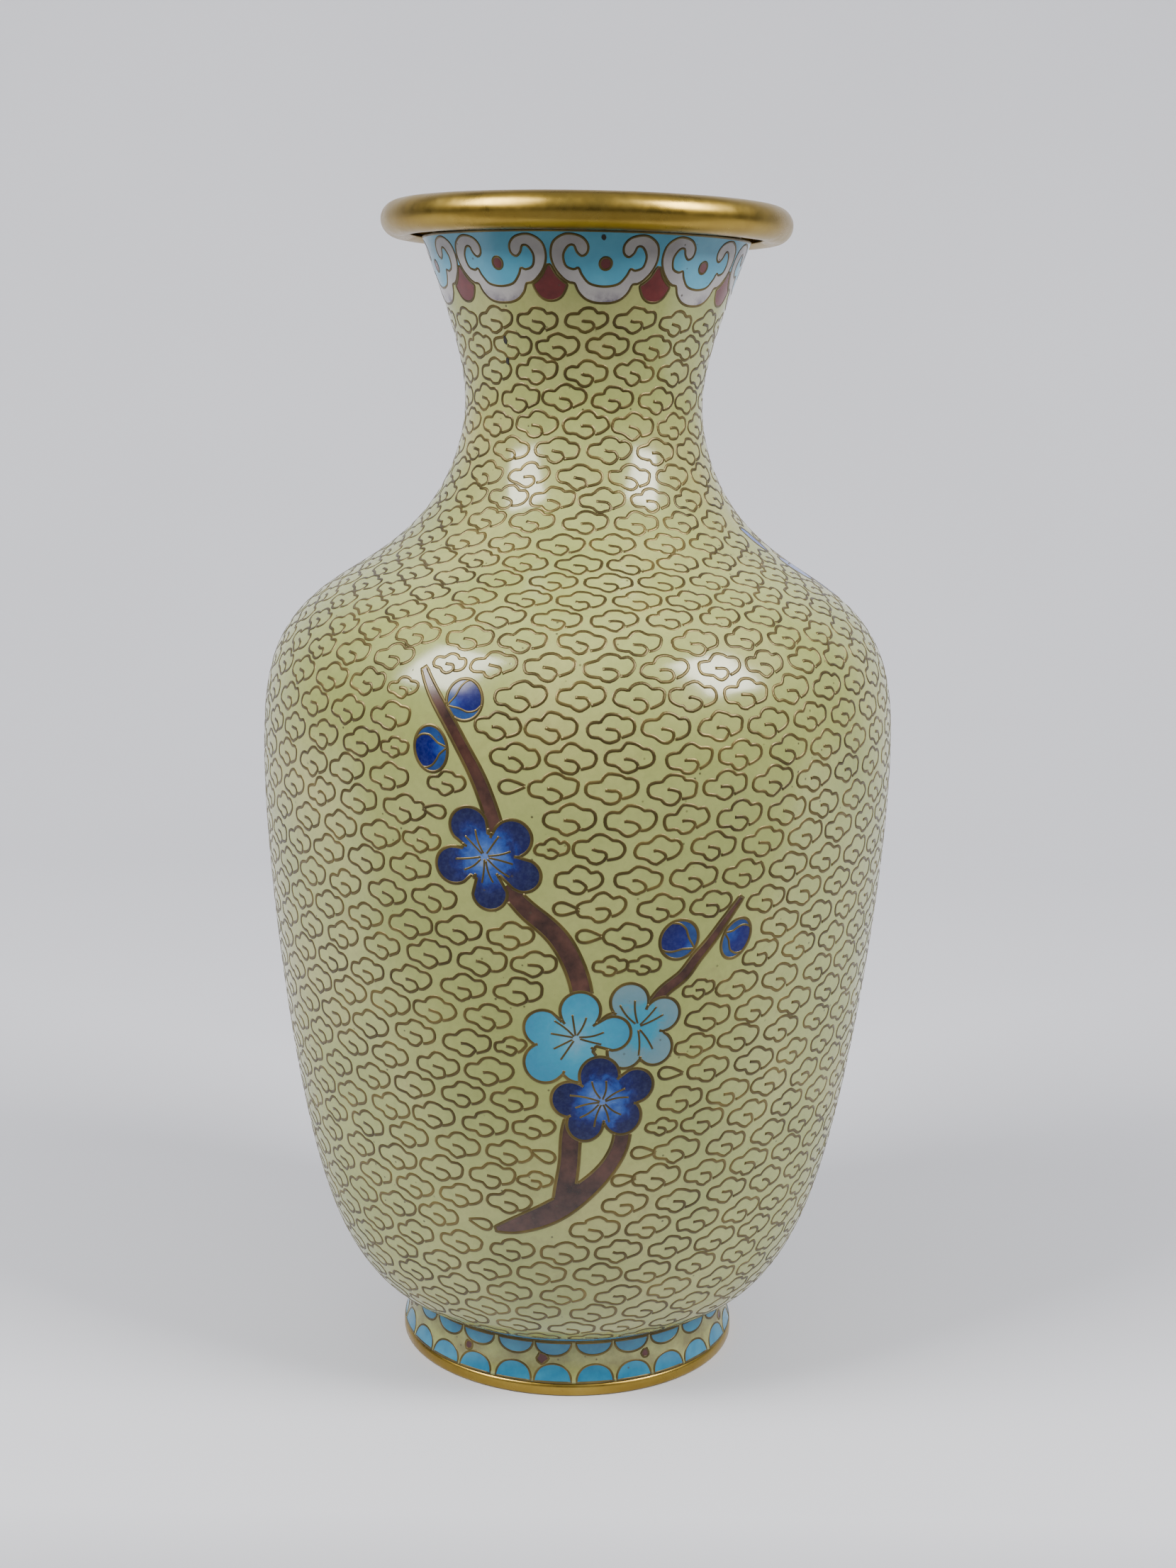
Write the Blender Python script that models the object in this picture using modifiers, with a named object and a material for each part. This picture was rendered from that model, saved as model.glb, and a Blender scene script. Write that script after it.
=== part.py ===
"""A cloisonne vase: a copper body in soldered sections, a rolled brass lip, a brass foot band, and the
enamel that covers it, cell by cell. Millimetres below are turned into metres by MM. Bearings are degrees
round the vase from its front meridian at -Y, positive towards +X."""

import math

import bmesh
import bpy
import numpy as np

MM = 0.001
NAME = "cloisonne_vase"

# Driving dimensions, in millimetres.
HEIGHT = 190.0
RIM_TUBE_RADIUS = 2.8
RIM_CIRCLE_RADIUS = 30.0
FOOT_RADIUS = 28.5
FOOT_BAND_HEIGHT = 2.1
FOOT_WAIST_RADIUS = 27.2
FOOT_TOP = 9.0
COLLAR_TOP = 184.6
NECK_SEAM = 150.0

# The outer silhouette above the foot, (radius, height) from the foot's waist to under the lip.
STATIONS = [
    (27.2, 9.6),
    (32.1, 12.0),
    (38.9, 21.0),
    (45.6, 44.0),
    (50.3, 78.0),
    (51.7, 104.0),
    (49.6, 119.0),
    (43.0, 128.0),
    (32.7, 135.0),
    (23.8, 144.0),
    (19.2, 158.0),
    (21.7, 172.0),
    (26.2, COLLAR_TOP),
]

# Layers, as depths below the outer surface. Each pair of layers keeps JOINT_GAP between them.
JOINT_GAP = 0.3
ENAMEL = (0.0, 0.9)
COPPER = (1.2, 2.3)
LINING = (2.6, 3.2)
LIP_SHEET = 0.8

SEGMENTS = 36
PROFILE_STEPS = 14
CELL_GAP = 0.36

# The cloud-head collar.
HEADS = 9
HEAD_PITCH = 360.0 / HEADS
FIRST_HEAD = 6.6 - 4 * HEAD_PITCH
COLLAR_LAYER_BOTTOM = 172.5
COLLAR_CUT_TOP = 187.0
GROUND_LAYER_TOP = 178.0

# The scalloped foot.
SCALLOPS = 26
SCALLOP_STEPS = 3
SCALLOP_PHASE = -11.4
SCALLOP_STRIP = 0.35
HANGING_SCALLOP = 2.1
STANDING_SCALLOP = 2.3

# The plum spray: flowers as (bearing, height, radius, turn), buds as (bearing, height, wide, tall, turn).
PETAL_REACH = 0.62
PETAL_STEPS = 4
FLOWERS = {
    "flower_upper": (-15.0, 94.9, 7.5, 18.0),
    "flower_turquoise": (0.7, 67.9, 7.9, 12.0),
    "flower_pale": (11.3, 69.2, 6.4, 6.0),
    "flower_lower": (5.5, 57.4, 8.1, -2.0),
    "back_flower": (168.0, 84.0, 7.5, 20.0),
}
BUDS = {
    "bud_upper_right": (-18.9, 117.6, 5.2, 5.6, 20.0),
    "bud_upper_left": (-24.6, 110.1, 5.2, 6.8, 12.0),
    "bud_right_inner": (17.9, 82.6, 5.4, 5.8, -30.0),
    "bud_right_outer": (28.3, 81.8, 4.4, 6.2, -25.0),
    "back_bud_left": (162.0, 104.5, 5.2, 6.0, 20.0),
    "back_bud_right": (187.5, 73.0, 5.0, 6.0, -35.0),
}
# Branches as a centre line of (bearing, height, width).
BRANCHES = {
    "branch_upper": [(-27.9, 121.6, 0.9), (-24.3, 115.5, 1.9), (-19.4, 107.5, 2.1), (-14.2, 98.0, 2.3)],
    "branch_middle": [(-11.0, 91.0, 2.6), (-5.9, 87.4, 3.2), (-1.6, 82.0, 3.5), (0.8, 75.5, 3.6), (1.2, 70.0, 3.6)],
    "branch_right": [(12.0, 69.5, 1.9), (16.2, 75.0, 1.8), (22.2, 81.7, 1.5), (28.8, 88.6, 0.9)],
    "branch_stem": [(9.4, 52.5, 3.0), (7.9, 47.3, 3.2), (4.8, 43.4, 3.4), (2.0, 40.6, 3.5),
                    (-3.2, 36.8, 3.7), (-9.3, 34.9, 3.0), (-14.8, 34.6, 1.0)],
    "branch_fork": [(2.4, 54.6, 3.0), (0.9, 50.0, 3.1), (0.2, 45.5, 3.2), (0.0, 42.8, 3.2)],
    "back_branch_upper": [(148.0, 112.0, 0.9), (154.5, 101.0, 2.0), (161.0, 92.0, 2.6), (166.0, 86.0, 2.8)],
    "back_branch_lower": [(173.0, 78.6, 3.0), (177.0, 74.5, 3.2), (180.0, 68.0, 3.2), (178.0, 58.0, 3.4)],
}
# The ground's cell in the fork of the branch, and the middle of the cluster, which holds no ground.
FORK_CELL = (4.3, 47.8, 4.6, 10.4, -4.0)
CLUSTER_MIDDLE = (4.1, 64.6, 7.8, 8.6, 0.0)
# Each of these cells stops at the cells that lie over it.
UNDER = {
    "bud_upper_left": ["branch_upper"],
    "bud_upper_right": ["branch_upper"],
    "bud_right_inner": ["branch_right"],
    "bud_right_outer": ["branch_right"],
    "branch_upper": ["flower_upper"],
    "branch_middle": ["flower_upper", "flower_turquoise"],
    "branch_right": ["flower_pale"],
    "branch_stem": ["flower_lower"],
    "branch_fork": ["flower_lower", "branch_stem"],
    "flower_pale": ["flower_turquoise", "flower_lower"],
    "flower_turquoise": ["flower_lower"],
    "ground_fork_cell": ["flower_lower", "branch_stem", "branch_fork"],
    "back_branch_upper": ["back_flower"],
    "back_branch_lower": ["back_flower"],
}

# The butterfly on the shoulder, at the back right.
BUTTERFLY = (92.0, 133.5)

# Outlines are drawn flat, their arc length measured at WRAP_RADIUS, and cut through the enamel
# between two radii: round the collar, round the belly and over the sloping shoulder.
WRAP_RADIUS = 50.0
COLLAR_REACH = (19.0, 31.0)
BELLY_REACH = (39.0, 56.0)
SHOULDER_REACH = (22.0, 50.0)

COPPER_RED = ((0.60, 0.30, 0.18), 0.38, 1.0)
BRASS = ((0.66, 0.45, 0.16), 0.30, 1.0)
LINING_BLUE = ((0.10, 0.42, 0.50), 0.25, 0.0)
TURQUOISE = ((0.09, 0.41, 0.58), 0.15, 0.0)
WHITE = ((0.67, 0.66, 0.73), 0.15, 0.0)
OXBLOOD = ((0.19, 0.02, 0.025), 0.15, 0.0)
GROUND = ((0.55, 0.55, 0.27), 0.15, 0.0)
BRANCH_BROWN = ((0.10, 0.035, 0.03), 0.20, 0.0)
DARK_BLUE = ((0.01, 0.02, 0.25), 0.12, 0.0)
PALE_BLUE = ((0.30, 0.54, 0.67), 0.15, 0.0)


def clear_scene():
    for item in list(bpy.data.objects):
        bpy.data.objects.remove(item)


def new_collection(name):
    collection = bpy.data.collections.new(name)
    bpy.context.scene.collection.children.link(collection)
    return collection


def material(name, look):
    colour, roughness, metallic = look
    made = bpy.data.materials.new(name)
    made.use_nodes = True
    shader = made.node_tree.nodes["Principled BSDF"]
    shader.inputs["Base Color"].default_value = (*colour, 1.0)
    shader.inputs["Roughness"].default_value = roughness
    shader.inputs["Metallic"].default_value = metallic
    return made


def add_object(name, mesh, look=None):
    item = bpy.data.objects.new(name, mesh)
    if look is None:
        cutters.objects.link(item)
        item.hide_render = True
        item.display_type = "WIRE"
    else:
        parts.objects.link(item)
        mesh.materials.append(material(name, look))
        mesh.shade_smooth()
    return item


def natural_spline(points, steps):
    """A smooth curve through the points, with no bend at its two ends."""
    points = np.array(points, float)
    chord = np.sqrt(np.linalg.norm(np.diff(points, axis=0), axis=1))
    knots = np.concatenate([[0.0], np.cumsum(chord)])
    count = len(points)
    system = np.eye(count)
    rise = np.zeros_like(points)
    for i in range(1, count - 1):
        before = knots[i] - knots[i - 1]
        after = knots[i + 1] - knots[i]
        system[i, i - 1 : i + 2] = before, 2 * (before + after), after
        rise[i] = 6 * ((points[i + 1] - points[i]) / after - (points[i] - points[i - 1]) / before)
    bend = np.linalg.solve(system, rise)
    curve = []
    for t in np.linspace(0.0, knots[-1], steps):
        i = min(int(np.searchsorted(knots, t, side="right")) - 1, count - 2)
        span = knots[i + 1] - knots[i]
        a = (knots[i + 1] - t) / span
        b = 1.0 - a
        bow = ((a**3 - a) * bend[i] + (b**3 - b) * bend[i + 1]) * span**2 / 6
        curve.append(a * points[i] + b * points[i + 1] + bow)
    return np.array(curve)


def inward(path, depth):
    """The path moved sideways towards the inside of the vase; the path runs from low to high."""
    along = np.gradient(path, axis=0)
    along /= np.linalg.norm(along, axis=1)[:, None]
    return path + depth * np.stack([-along[:, 1], along[:, 0]], axis=1)


def between(path, low, high):
    """The stretch of a rising path between two heights, with a point on each."""
    heights = path[:, 1]
    inside = path[(heights > low + 0.3) & (heights < high - 0.3)]
    ends = [(np.interp(z, heights, path[:, 0]), z) for z in (low, high)]
    return np.array([ends[0], *inside, ends[1]])


def turned(name, loop, look=None, closed=True):
    """A solid of revolution. The loop of (radius, height) runs down its outer side."""
    mesh = bpy.data.meshes.new(name)
    edges = [(i, i + 1) for i in range(len(loop) - 1)]
    if closed:
        edges.append((len(loop) - 1, 0))
    mesh.from_pydata([(r * MM, 0.0, z * MM) for r, z in loop], edges, [])
    item = add_object(name, mesh, look)
    screw = item.modifiers.new("turn", "SCREW")
    screw.steps = SEGMENTS
    screw.render_steps = SEGMENTS
    screw.use_merge_vertices = True
    screw.merge_threshold = 0.00001
    return item


def layer_loop(path, depths, low, high):
    """A closed profile between two depths under a rising path and between two heights, outer side
    first and downwards."""
    outer = between(inward(path, depths[0]), low, high)[::-1]
    inner = between(inward(path, depths[1]), low, high)
    return np.concatenate([outer, inner])


def grown(outline, margin):
    """A closed anticlockwise outline moved outwards by the margin."""
    outline = np.array(outline, float)
    along = np.roll(outline, -1, axis=0) - np.roll(outline, 1, axis=0)
    along /= np.linalg.norm(along, axis=1)[:, None]
    return outline + margin * np.stack([along[:, 1], -along[:, 0]], axis=1)


def filled(name, outline, reach):
    """A flat closed outline of (arc length at WRAP_RADIUS, height), as a plate as thick as the reach."""
    curve = bpy.data.curves.new(name, "CURVE")
    curve.dimensions = "2D"
    curve.fill_mode = "BOTH"
    curve.extrude = 0.5 * (reach[1] - reach[0]) * MM
    curve.resolution_u = 1
    curve.render_resolution_u = 0
    spline = curve.splines.new("POLY")
    spline.points.add(len(outline) - 1)
    for point, (x, y) in zip(spline.points, outline):
        point.co = (x * MM, y * MM, 0.0, 1.0)
    spline.use_cyclic_u = True
    source = bpy.data.objects.new(name, curve)
    bpy.context.scene.collection.objects.link(source)
    bpy.context.view_layer.update()
    mesh = bpy.data.meshes.new_from_object(source.evaluated_get(bpy.context.evaluated_depsgraph_get()))
    bpy.data.objects.remove(source)
    plate = bmesh.new()
    plate.from_mesh(mesh)
    bmesh.ops.remove_doubles(plate, verts=plate.verts, dist=0.000001)
    bmesh.ops.triangulate(plate, faces=plate.faces)
    plate.normal_update()
    caps = {f for f in plate.faces if abs(f.normal.z) > 0.5}
    inner = [e for e in plate.edges if all(f in caps for f in e.link_faces)]
    bmesh.ops.beautify_fill(plate, faces=list(caps), edges=inner)
    return mesh, plate


def wrapped(name, mesh, plate, reach):
    """The plate bent round the vase's axis between two radii, so that its side walls point at the axis."""
    middle = 0.5 * (reach[0] + reach[1]) * MM
    for vert in plate.verts:
        bearing = vert.co.x / (WRAP_RADIUS * MM)
        radius = middle + vert.co.z
        vert.co = (radius * math.sin(bearing), -radius * math.cos(bearing), vert.co.y)
    bmesh.ops.remove_doubles(plate, verts=plate.verts, dist=0.000001)
    if plate.calc_volume(signed=True) < 0.0:
        bmesh.ops.reverse_faces(plate, faces=plate.faces)
    plate.to_mesh(mesh)
    plate.free()
    return add_object(name, mesh)


def prism(name, outline, reach):
    """A cutter with the outline's shape, between two radii that lie either side of the enamel."""
    return wrapped(name, *filled(name, outline, reach), reach)


def belt(name, line):
    """A cutter all the way round: its lower edge repeats the line of one collar head."""
    start = arc_length(FIRST_HEAD - 0.5 * HEAD_PITCH)
    pitch = arc_length(HEAD_PITCH)
    lower = [(start + pitch * (n + 0.5) + x, z) for n in range(HEADS) for x, z in line[:-1]]
    lower.append((start + pitch * HEADS, line[-1][1]))
    steps = 8 * HEADS
    upper = [(start + pitch * HEADS * i / steps, COLLAR_CUT_TOP) for i in range(steps, -1, -1)]
    mesh, plate = filled(name, lower + upper, COLLAR_REACH)
    ends = (start * MM, (start + pitch * HEADS) * MM)
    seam = [f for f in plate.faces if any(all(abs(v.co.x - x) < 1e-6 for v in f.verts) for x in ends)]
    bmesh.ops.delete(plate, geom=seam, context="FACES")
    return wrapped(name, mesh, plate, COLLAR_REACH)


def boolean(item, cutter, operation, solver="EXACT"):
    """Flat triangles go in and come out, so one cut never leaves a bent face for the next."""
    item.modifiers.new("flat_faces", "TRIANGULATE")
    modifier = item.modifiers.new(cutter.name, "BOOLEAN")
    modifier.operation = operation
    modifier.solver = solver
    modifier.object = cutter


def arc_length(bearing):
    return math.radians(bearing) * WRAP_RADIUS


def placed(shape, bearing, height, turn=0.0):
    """A local outline turned, and moved to its place on the vase."""
    c = math.cos(math.radians(turn))
    s = math.sin(math.radians(turn))
    return [(arc_length(bearing) + x * c - y * s, height + x * s + y * c) for x, y in shape]


def flower_outline(radius):
    """Five round petals that overlap: each petal is a circle, and the outline is their union's."""
    reach = PETAL_REACH * radius
    petal = radius - reach
    outline = []
    for i in range(5 * PETAL_STEPS):
        bearing = 72.0 * i / PETAL_STEPS
        angle = math.radians(bearing)
        off = math.radians((bearing + 36.0) % 72.0 - 36.0)
        across = reach * math.sin(off)
        distance = reach * math.cos(off) + math.sqrt(max(petal**2 - across**2, 0.0))
        outline.append((distance * math.cos(angle + math.pi / 2), distance * math.sin(angle + math.pi / 2)))
    return outline


def ellipse(wide, tall, count=10):
    angles = [2 * math.pi * i / count for i in range(count)]
    return [(0.5 * wide * math.cos(a), 0.5 * tall * math.sin(a)) for a in angles]


def ribbon_outline(line):
    """The outline of a branch that follows a centre line and changes in width."""
    knots = [(arc_length(bearing), height, width) for bearing, height, width in line]
    path = natural_spline(knots, 2 * len(knots))
    along = np.gradient(path[:, :2], axis=0)
    along /= np.linalg.norm(along, axis=1)[:, None]
    side = 0.5 * path[:, 2:] * np.stack([-along[:, 1], along[:, 0]], axis=1)
    left = path[:, :2] + side
    right = path[:, :2] - side
    return [tuple(point) for point in np.concatenate([right, left[::-1]])]


def head_point(bearing, height):
    return (arc_length(bearing), height)


# Right halves of the collar's outlines, (bearing from the head's middle, height). The band's half
# runs up its outer side from the valley, round its curl, and back down its inner side.
HEAD_BAND_HALF = [
    (0.0, 174.2), (7.2, 174.8), (10.8, 176.9), (15.6, 177.8), (19.3, 180.4), (18.6, 182.8),
    (14.0, 183.9), (8.6, 183.5), (6.3, 182.2), (7.6, 181.1), (10.6, 181.7), (12.4, 182.5),
    (15.0, 181.0), (13.8, 179.3), (9.6, 178.9), (6.2, 177.3), (0.0, 176.7),
]
SHOULDER_POINT = 5
VALLEY_HEIGHT = 182.2
DROP_HALF = [(0.0, 174.4), (4.2, 175.0), (6.4, 176.4), (5.0, 177.2), (1.8, 178.6), (0.0, 179.8)]
COLLAR_EDGE_HALF = [(0.0, 173.8), (7.4, 174.4), (10.8, 176.2), (12.0, 176.7), (15.4, 174.6), (20.0, 174.0)]


def head_outline(half):
    """A closed outline whose half begins and ends on its middle line."""
    return [head_point(b, z) for b, z in half] + [head_point(-b, z) for b, z in reversed(half[1:-1])]


def both_sides(half):
    """A line from the left valley over the middle to the right valley."""
    return [(-x, z) for x, z in reversed(half)] + half[1:]


def field_line():
    """The field's lower edge at one head: it runs from the valley over the shoulder and into the head."""
    around = grown(head_outline(HEAD_BAND_HALF), CELL_GAP)
    right = [tuple(point) for point in around[SHOULDER_POINT : len(HEAD_BAND_HALF)]]
    return both_sides([*reversed(right), head_point(0.5 * HEAD_PITCH, VALLEY_HEIGHT)])


def edge_line():
    """The ground's upper edge at one head, under the head and the drops beside it."""
    return both_sides([head_point(b, z) for b, z in COLLAR_EDGE_HALF])


def build_metal(body):
    belly_bottom = FOOT_TOP + 2 * JOINT_GAP + 1.1
    turned("belly_shell", layer_loop(body, COPPER, belly_bottom, NECK_SEAM), COPPER_RED)
    turned("neck_shell", layer_loop(body, COPPER, NECK_SEAM + JOINT_GAP, COLLAR_TOP), COPPER_RED)
    build_foot_skirt()
    plate_bottom = FOOT_TOP + JOINT_GAP
    plate_radius = FOOT_WAIST_RADIUS - 1.0
    plate = [(0.0, plate_bottom + 1.0), (plate_radius, plate_bottom + 1.0),
             (plate_radius, plate_bottom), (0.0, plate_bottom)]
    turned("base_plate", plate, COPPER_RED, closed=False)
    build_foot_band()
    build_rim()


def build_foot_band():
    edge = 0.35
    inner = FOOT_RADIUS - COPPER[1]
    loop = [(FOOT_RADIUS - 0.2, FOOT_BAND_HEIGHT), (FOOT_RADIUS, 0.5 * FOOT_BAND_HEIGHT), (FOOT_RADIUS, edge),
            (FOOT_RADIUS - edge, 0.0), (inner + edge, 0.0), (inner, edge), (inner, FOOT_BAND_HEIGHT)]
    turned("foot_band", loop, BRASS)


def build_rim():
    """The lip: a sheet that rises out of the mouth and rolls outwards, down and back under itself."""
    centre = np.array([RIM_CIRCLE_RADIUS, HEIGHT - RIM_TUBE_RADIUS])
    mouth = [(24.3, COLLAR_TOP + JOINT_GAP + 0.5), (25.6, 187.3), (27.5, 189.2)]
    angles = np.radians(np.arange(90.0, -136.0, -32.0))
    roll = [centre + RIM_TUBE_RADIUS * np.array([math.cos(a), math.sin(a)]) for a in angles]
    skin = np.array([*mouth, *roll])
    under = inward(skin, -LIP_SHEET)
    turned("rim_ring", np.concatenate([skin, under[::-1]]), BRASS)


def foot_radius(height):
    """The foot's outer surface: a waist that flares to the band."""
    fall = (FOOT_TOP - height) / (FOOT_TOP - FOOT_BAND_HEIGHT)
    return FOOT_WAIST_RADIUS + (FOOT_RADIUS - 0.1 - FOOT_WAIST_RADIUS) * fall**2


def build_foot_skirt():
    heights = [FOOT_BAND_HEIGHT + JOINT_GAP, 5.0, 7.0, FOOT_TOP]
    outside = [(foot_radius(z) - COPPER[0], z) for z in reversed(heights)]
    inside = [(foot_radius(z) - COPPER[1], z) for z in heights]
    turned("foot_skirt", outside + inside, COPPER_RED)


def build_linings(body):
    side = inward(body, LINING[0])
    inner = inward(body, LINING[1])
    top = COLLAR_TOP - 1.6
    side = side[side[:, 1] < top]
    inner = inner[inner[:, 1] < top]
    floor = FOOT_TOP + 2 * JOINT_GAP + 1.0
    corner = side[0, 0] - 0.3
    outside = [*side[::-1], (corner, floor), (0.0, floor)]
    inside = [(0.0, floor + 0.6), (corner - 1.0, floor + 0.6), *inner]
    turned("interior_enamel", inside + outside, LINING_BLUE, closed=False)
    radius = FOOT_WAIST_RADIUS - COPPER[1] - JOINT_GAP
    disc = [(0.0, FOOT_TOP - JOINT_GAP), (radius, FOOT_TOP - JOINT_GAP),
            (radius, FOOT_TOP - JOINT_GAP - 0.6), (0.0, FOOT_TOP - JOINT_GAP - 0.6)]
    turned("base_enamel", disc, LINING_BLUE, closed=False)


def build_collar(body, ground):
    layer = layer_loop(body, ENAMEL, COLLAR_LAYER_BOTTOM, COLLAR_TOP)
    field = turned("collar_field", layer, TURQUOISE)
    # The exact solver finds nothing to keep where a cutter goes all the way round.
    boolean(field, belt("cut_field", field_line()), "INTERSECT", "MANIFOLD")
    boolean(ground, belt("cut_ground_top", edge_line()), "DIFFERENCE", "MANIFOLD")
    for number in range(1, HEADS + 1):
        middle = arc_length(FIRST_HEAD + HEAD_PITCH * (number - 1))
        valley = middle + arc_length(0.5 * HEAD_PITCH)
        head = turned(f"cloud_head_{number}", layer, WHITE)
        band = [(x + middle, z) for x, z in head_outline(HEAD_BAND_HALF)]
        boolean(head, prism(f"cut_head_{number}", band, COLLAR_REACH), "INTERSECT")
        drop = turned(f"collar_drop_{number}", layer, OXBLOOD)
        fill = [(x + valley, z) for x, z in head_outline(DROP_HALF)]
        boolean(drop, prism(f"cut_drop_{number}", fill, COLLAR_REACH), "INTERSECT")


def motif_outlines():
    outlines = {}
    for name, (bearing, height, radius, turn) in FLOWERS.items():
        outlines[name] = placed(flower_outline(radius), bearing, height, turn)
    for name, (bearing, height, wide, tall, turn) in BUDS.items():
        outlines[name] = placed(ellipse(wide, tall), bearing, height, turn)
    for name, line in BRANCHES.items():
        outlines[name] = ribbon_outline(line)
    bearing, height, wide, tall, turn = FORK_CELL
    outlines["ground_fork_cell"] = placed(ellipse(wide, tall), bearing, height, turn)
    bearing, height = BUTTERFLY
    outlines["butterfly_body"] = placed(ellipse(1.6, 6.0), bearing, height, 25.0)
    for name, side in (("butterfly_left_wing", -1.0), ("butterfly_right_wing", 1.0)):
        wing = [(side * x, y) for x, y in ((1.3, -0.6), (2.6, -3.4), (5.0, -3.0), (5.2, -0.6),
                                           (7.2, 1.4), (6.6, 4.6), (3.4, 3.8), (1.3, 1.4))]
        wing = wing if side > 0 else wing[::-1]
        outlines[name] = placed(wing, bearing, height, 25.0)
    return outlines


def motif_reach(name):
    return SHOULDER_REACH if "butterfly" in name else BELLY_REACH


def motif_look(name):
    if "branch" in name:
        return BRANCH_BROWN
    if "ground" in name:
        return GROUND
    if name == "flower_turquoise":
        return TURQUOISE
    if name == "flower_pale":
        return PALE_BLUE
    return DARK_BLUE


def build_motif(body, ground):
    outlines = motif_outlines()
    wide = {}
    for name, outline in outlines.items():
        wide[name] = prism(f"cut_round_{name}", grown(outline, CELL_GAP), motif_reach(name))
    for name, outline in outlines.items():
        heights = [z for x, z in outline]
        low = min(heights) - 2.0
        high = max(heights) + 2.0
        cell = turned(name, layer_loop(body, ENAMEL, low, high), motif_look(name))
        boolean(cell, prism(f"cut_{name}", outline, motif_reach(name)), "INTERSECT")
        for above in UNDER.get(name, []):
            boolean(cell, wide[above], "DIFFERENCE")
        boolean(ground, wide[name], "DIFFERENCE", "MANIFOLD")
    bearing, height, across, tall, turn = CLUSTER_MIDDLE
    middle = prism("cut_cluster_middle", placed(ellipse(across, tall), bearing, height, turn), BELLY_REACH)
    boolean(ground, middle, "DIFFERENCE", "MANIFOLD")


def scallop(bearing):
    """0 on the line between two scallops and 1 at a scallop's middle, along half an ellipse."""
    turn = ((bearing - SCALLOP_PHASE) * SCALLOPS / 360.0) % 1.0
    return math.sqrt(max(1.0 - (2.0 * turn - 1.0) ** 2, 0.0))


def foot_ring(name, lower, upper, look):
    """A turned ring between two wavy edges, each a height as a function of bearing."""
    outside = [(FOOT_RADIUS - ENAMEL[0], 1.0), (FOOT_RADIUS - ENAMEL[0], 0.0)]
    inside = [(FOOT_RADIUS - ENAMEL[1], 0.0), (FOOT_RADIUS - ENAMEL[1], 1.0)]
    source = turned(name, outside + inside, look)
    source.modifiers["turn"].steps = SCALLOPS * SCALLOP_STEPS
    source.modifiers["turn"].render_steps = SCALLOPS * SCALLOP_STEPS
    bpy.context.view_layer.update()
    mesh = bpy.data.meshes.new_from_object(source.evaluated_get(bpy.context.evaluated_depsgraph_get()))
    source.modifiers.clear()
    for vert in mesh.vertices:
        x, y, z = vert.co
        bearing = math.degrees(math.atan2(x, -y))
        share = z / MM
        depth = FOOT_RADIUS - math.hypot(x, y) / MM
        height = lower(bearing) * (1.0 - share) + upper(bearing) * share
        radius = foot_radius(height) - depth
        angle = math.radians(bearing)
        vert.co = (radius * math.sin(angle) * MM, -radius * math.cos(angle) * MM, height * MM)
    source.data = mesh


def build_foot_enamel():
    """Scallops that hang from the foot's top, arches that stand on the band, and the ground between."""
    base = FOOT_BAND_HEIGHT + JOINT_GAP

    def hanging(bearing):
        return FOOT_TOP - SCALLOP_STRIP - HANGING_SCALLOP * scallop(bearing)

    def standing(bearing):
        return base + SCALLOP_STRIP + STANDING_SCALLOP * scallop(bearing)

    foot_ring("foot_scallops_upper", hanging, lambda bearing: FOOT_TOP, TURQUOISE)
    foot_ring("foot_scallops_lower", lambda bearing: base, standing, TURQUOISE)
    foot_ring("foot_ground_enamel", lambda bearing: standing(bearing) + CELL_GAP,
              lambda bearing: hanging(bearing) - CELL_GAP, GROUND)


clear_scene()
parts = new_collection(NAME)
cutters = new_collection("cutters")
body_path = natural_spline(STATIONS, PROFILE_STEPS)
build_metal(body_path)
build_linings(body_path)
ground_loop = layer_loop(body_path, ENAMEL, body_path[0, 1], GROUND_LAYER_TOP)
ground_enamel = turned("ground_enamel", ground_loop, GROUND)
build_collar(body_path, ground_enamel)
build_motif(body_path, ground_enamel)
build_foot_enamel()
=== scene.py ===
"""The look of the cloisonne vase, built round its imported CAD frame: smooth glaze, every wire, and the
shaded flowers. Millimetres below are turned into metres by MM. Bearings are degrees round the vase from
its front meridian at -Y, positive towards +X."""

import math
import random

import bpy
import numpy as np
from mathutils import Matrix, Vector, geometry, kdtree


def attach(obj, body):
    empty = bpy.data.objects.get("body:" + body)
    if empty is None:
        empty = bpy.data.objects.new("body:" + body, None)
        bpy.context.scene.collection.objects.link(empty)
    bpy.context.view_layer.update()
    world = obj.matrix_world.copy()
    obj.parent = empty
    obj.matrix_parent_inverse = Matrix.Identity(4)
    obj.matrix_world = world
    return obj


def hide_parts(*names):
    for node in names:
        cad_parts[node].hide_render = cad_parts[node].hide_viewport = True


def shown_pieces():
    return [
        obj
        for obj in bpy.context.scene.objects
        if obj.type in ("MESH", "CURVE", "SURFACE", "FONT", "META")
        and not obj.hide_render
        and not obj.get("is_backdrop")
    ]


MM = 0.001

# The frame's driving dimensions.
HEIGHT = 190.0
RIM_TUBE_RADIUS = 2.8
RIM_CIRCLE_RADIUS = 30.0
LIP_SHEET = 0.8
FOOT_RADIUS = 28.5
FOOT_BAND_HEIGHT = 2.1
FOOT_WAIST_RADIUS = 27.2
FOOT_TOP = 9.0
COLLAR_TOP = 184.6
JOINT_GAP = 0.3
GLAZE_DEPTH = 0.9
COPPER_DEPTH = 2.3
LINING = (2.6, 3.2)
STATIONS = [
    (27.2, 9.6), (32.1, 12.0), (38.9, 21.0), (45.6, 44.0), (50.3, 78.0), (51.7, 104.0), (49.6, 119.0),
    (43.0, 128.0), (32.7, 135.0), (23.8, 144.0), (19.2, 158.0), (21.7, 172.0), (26.2, COLLAR_TOP),
]

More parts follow.
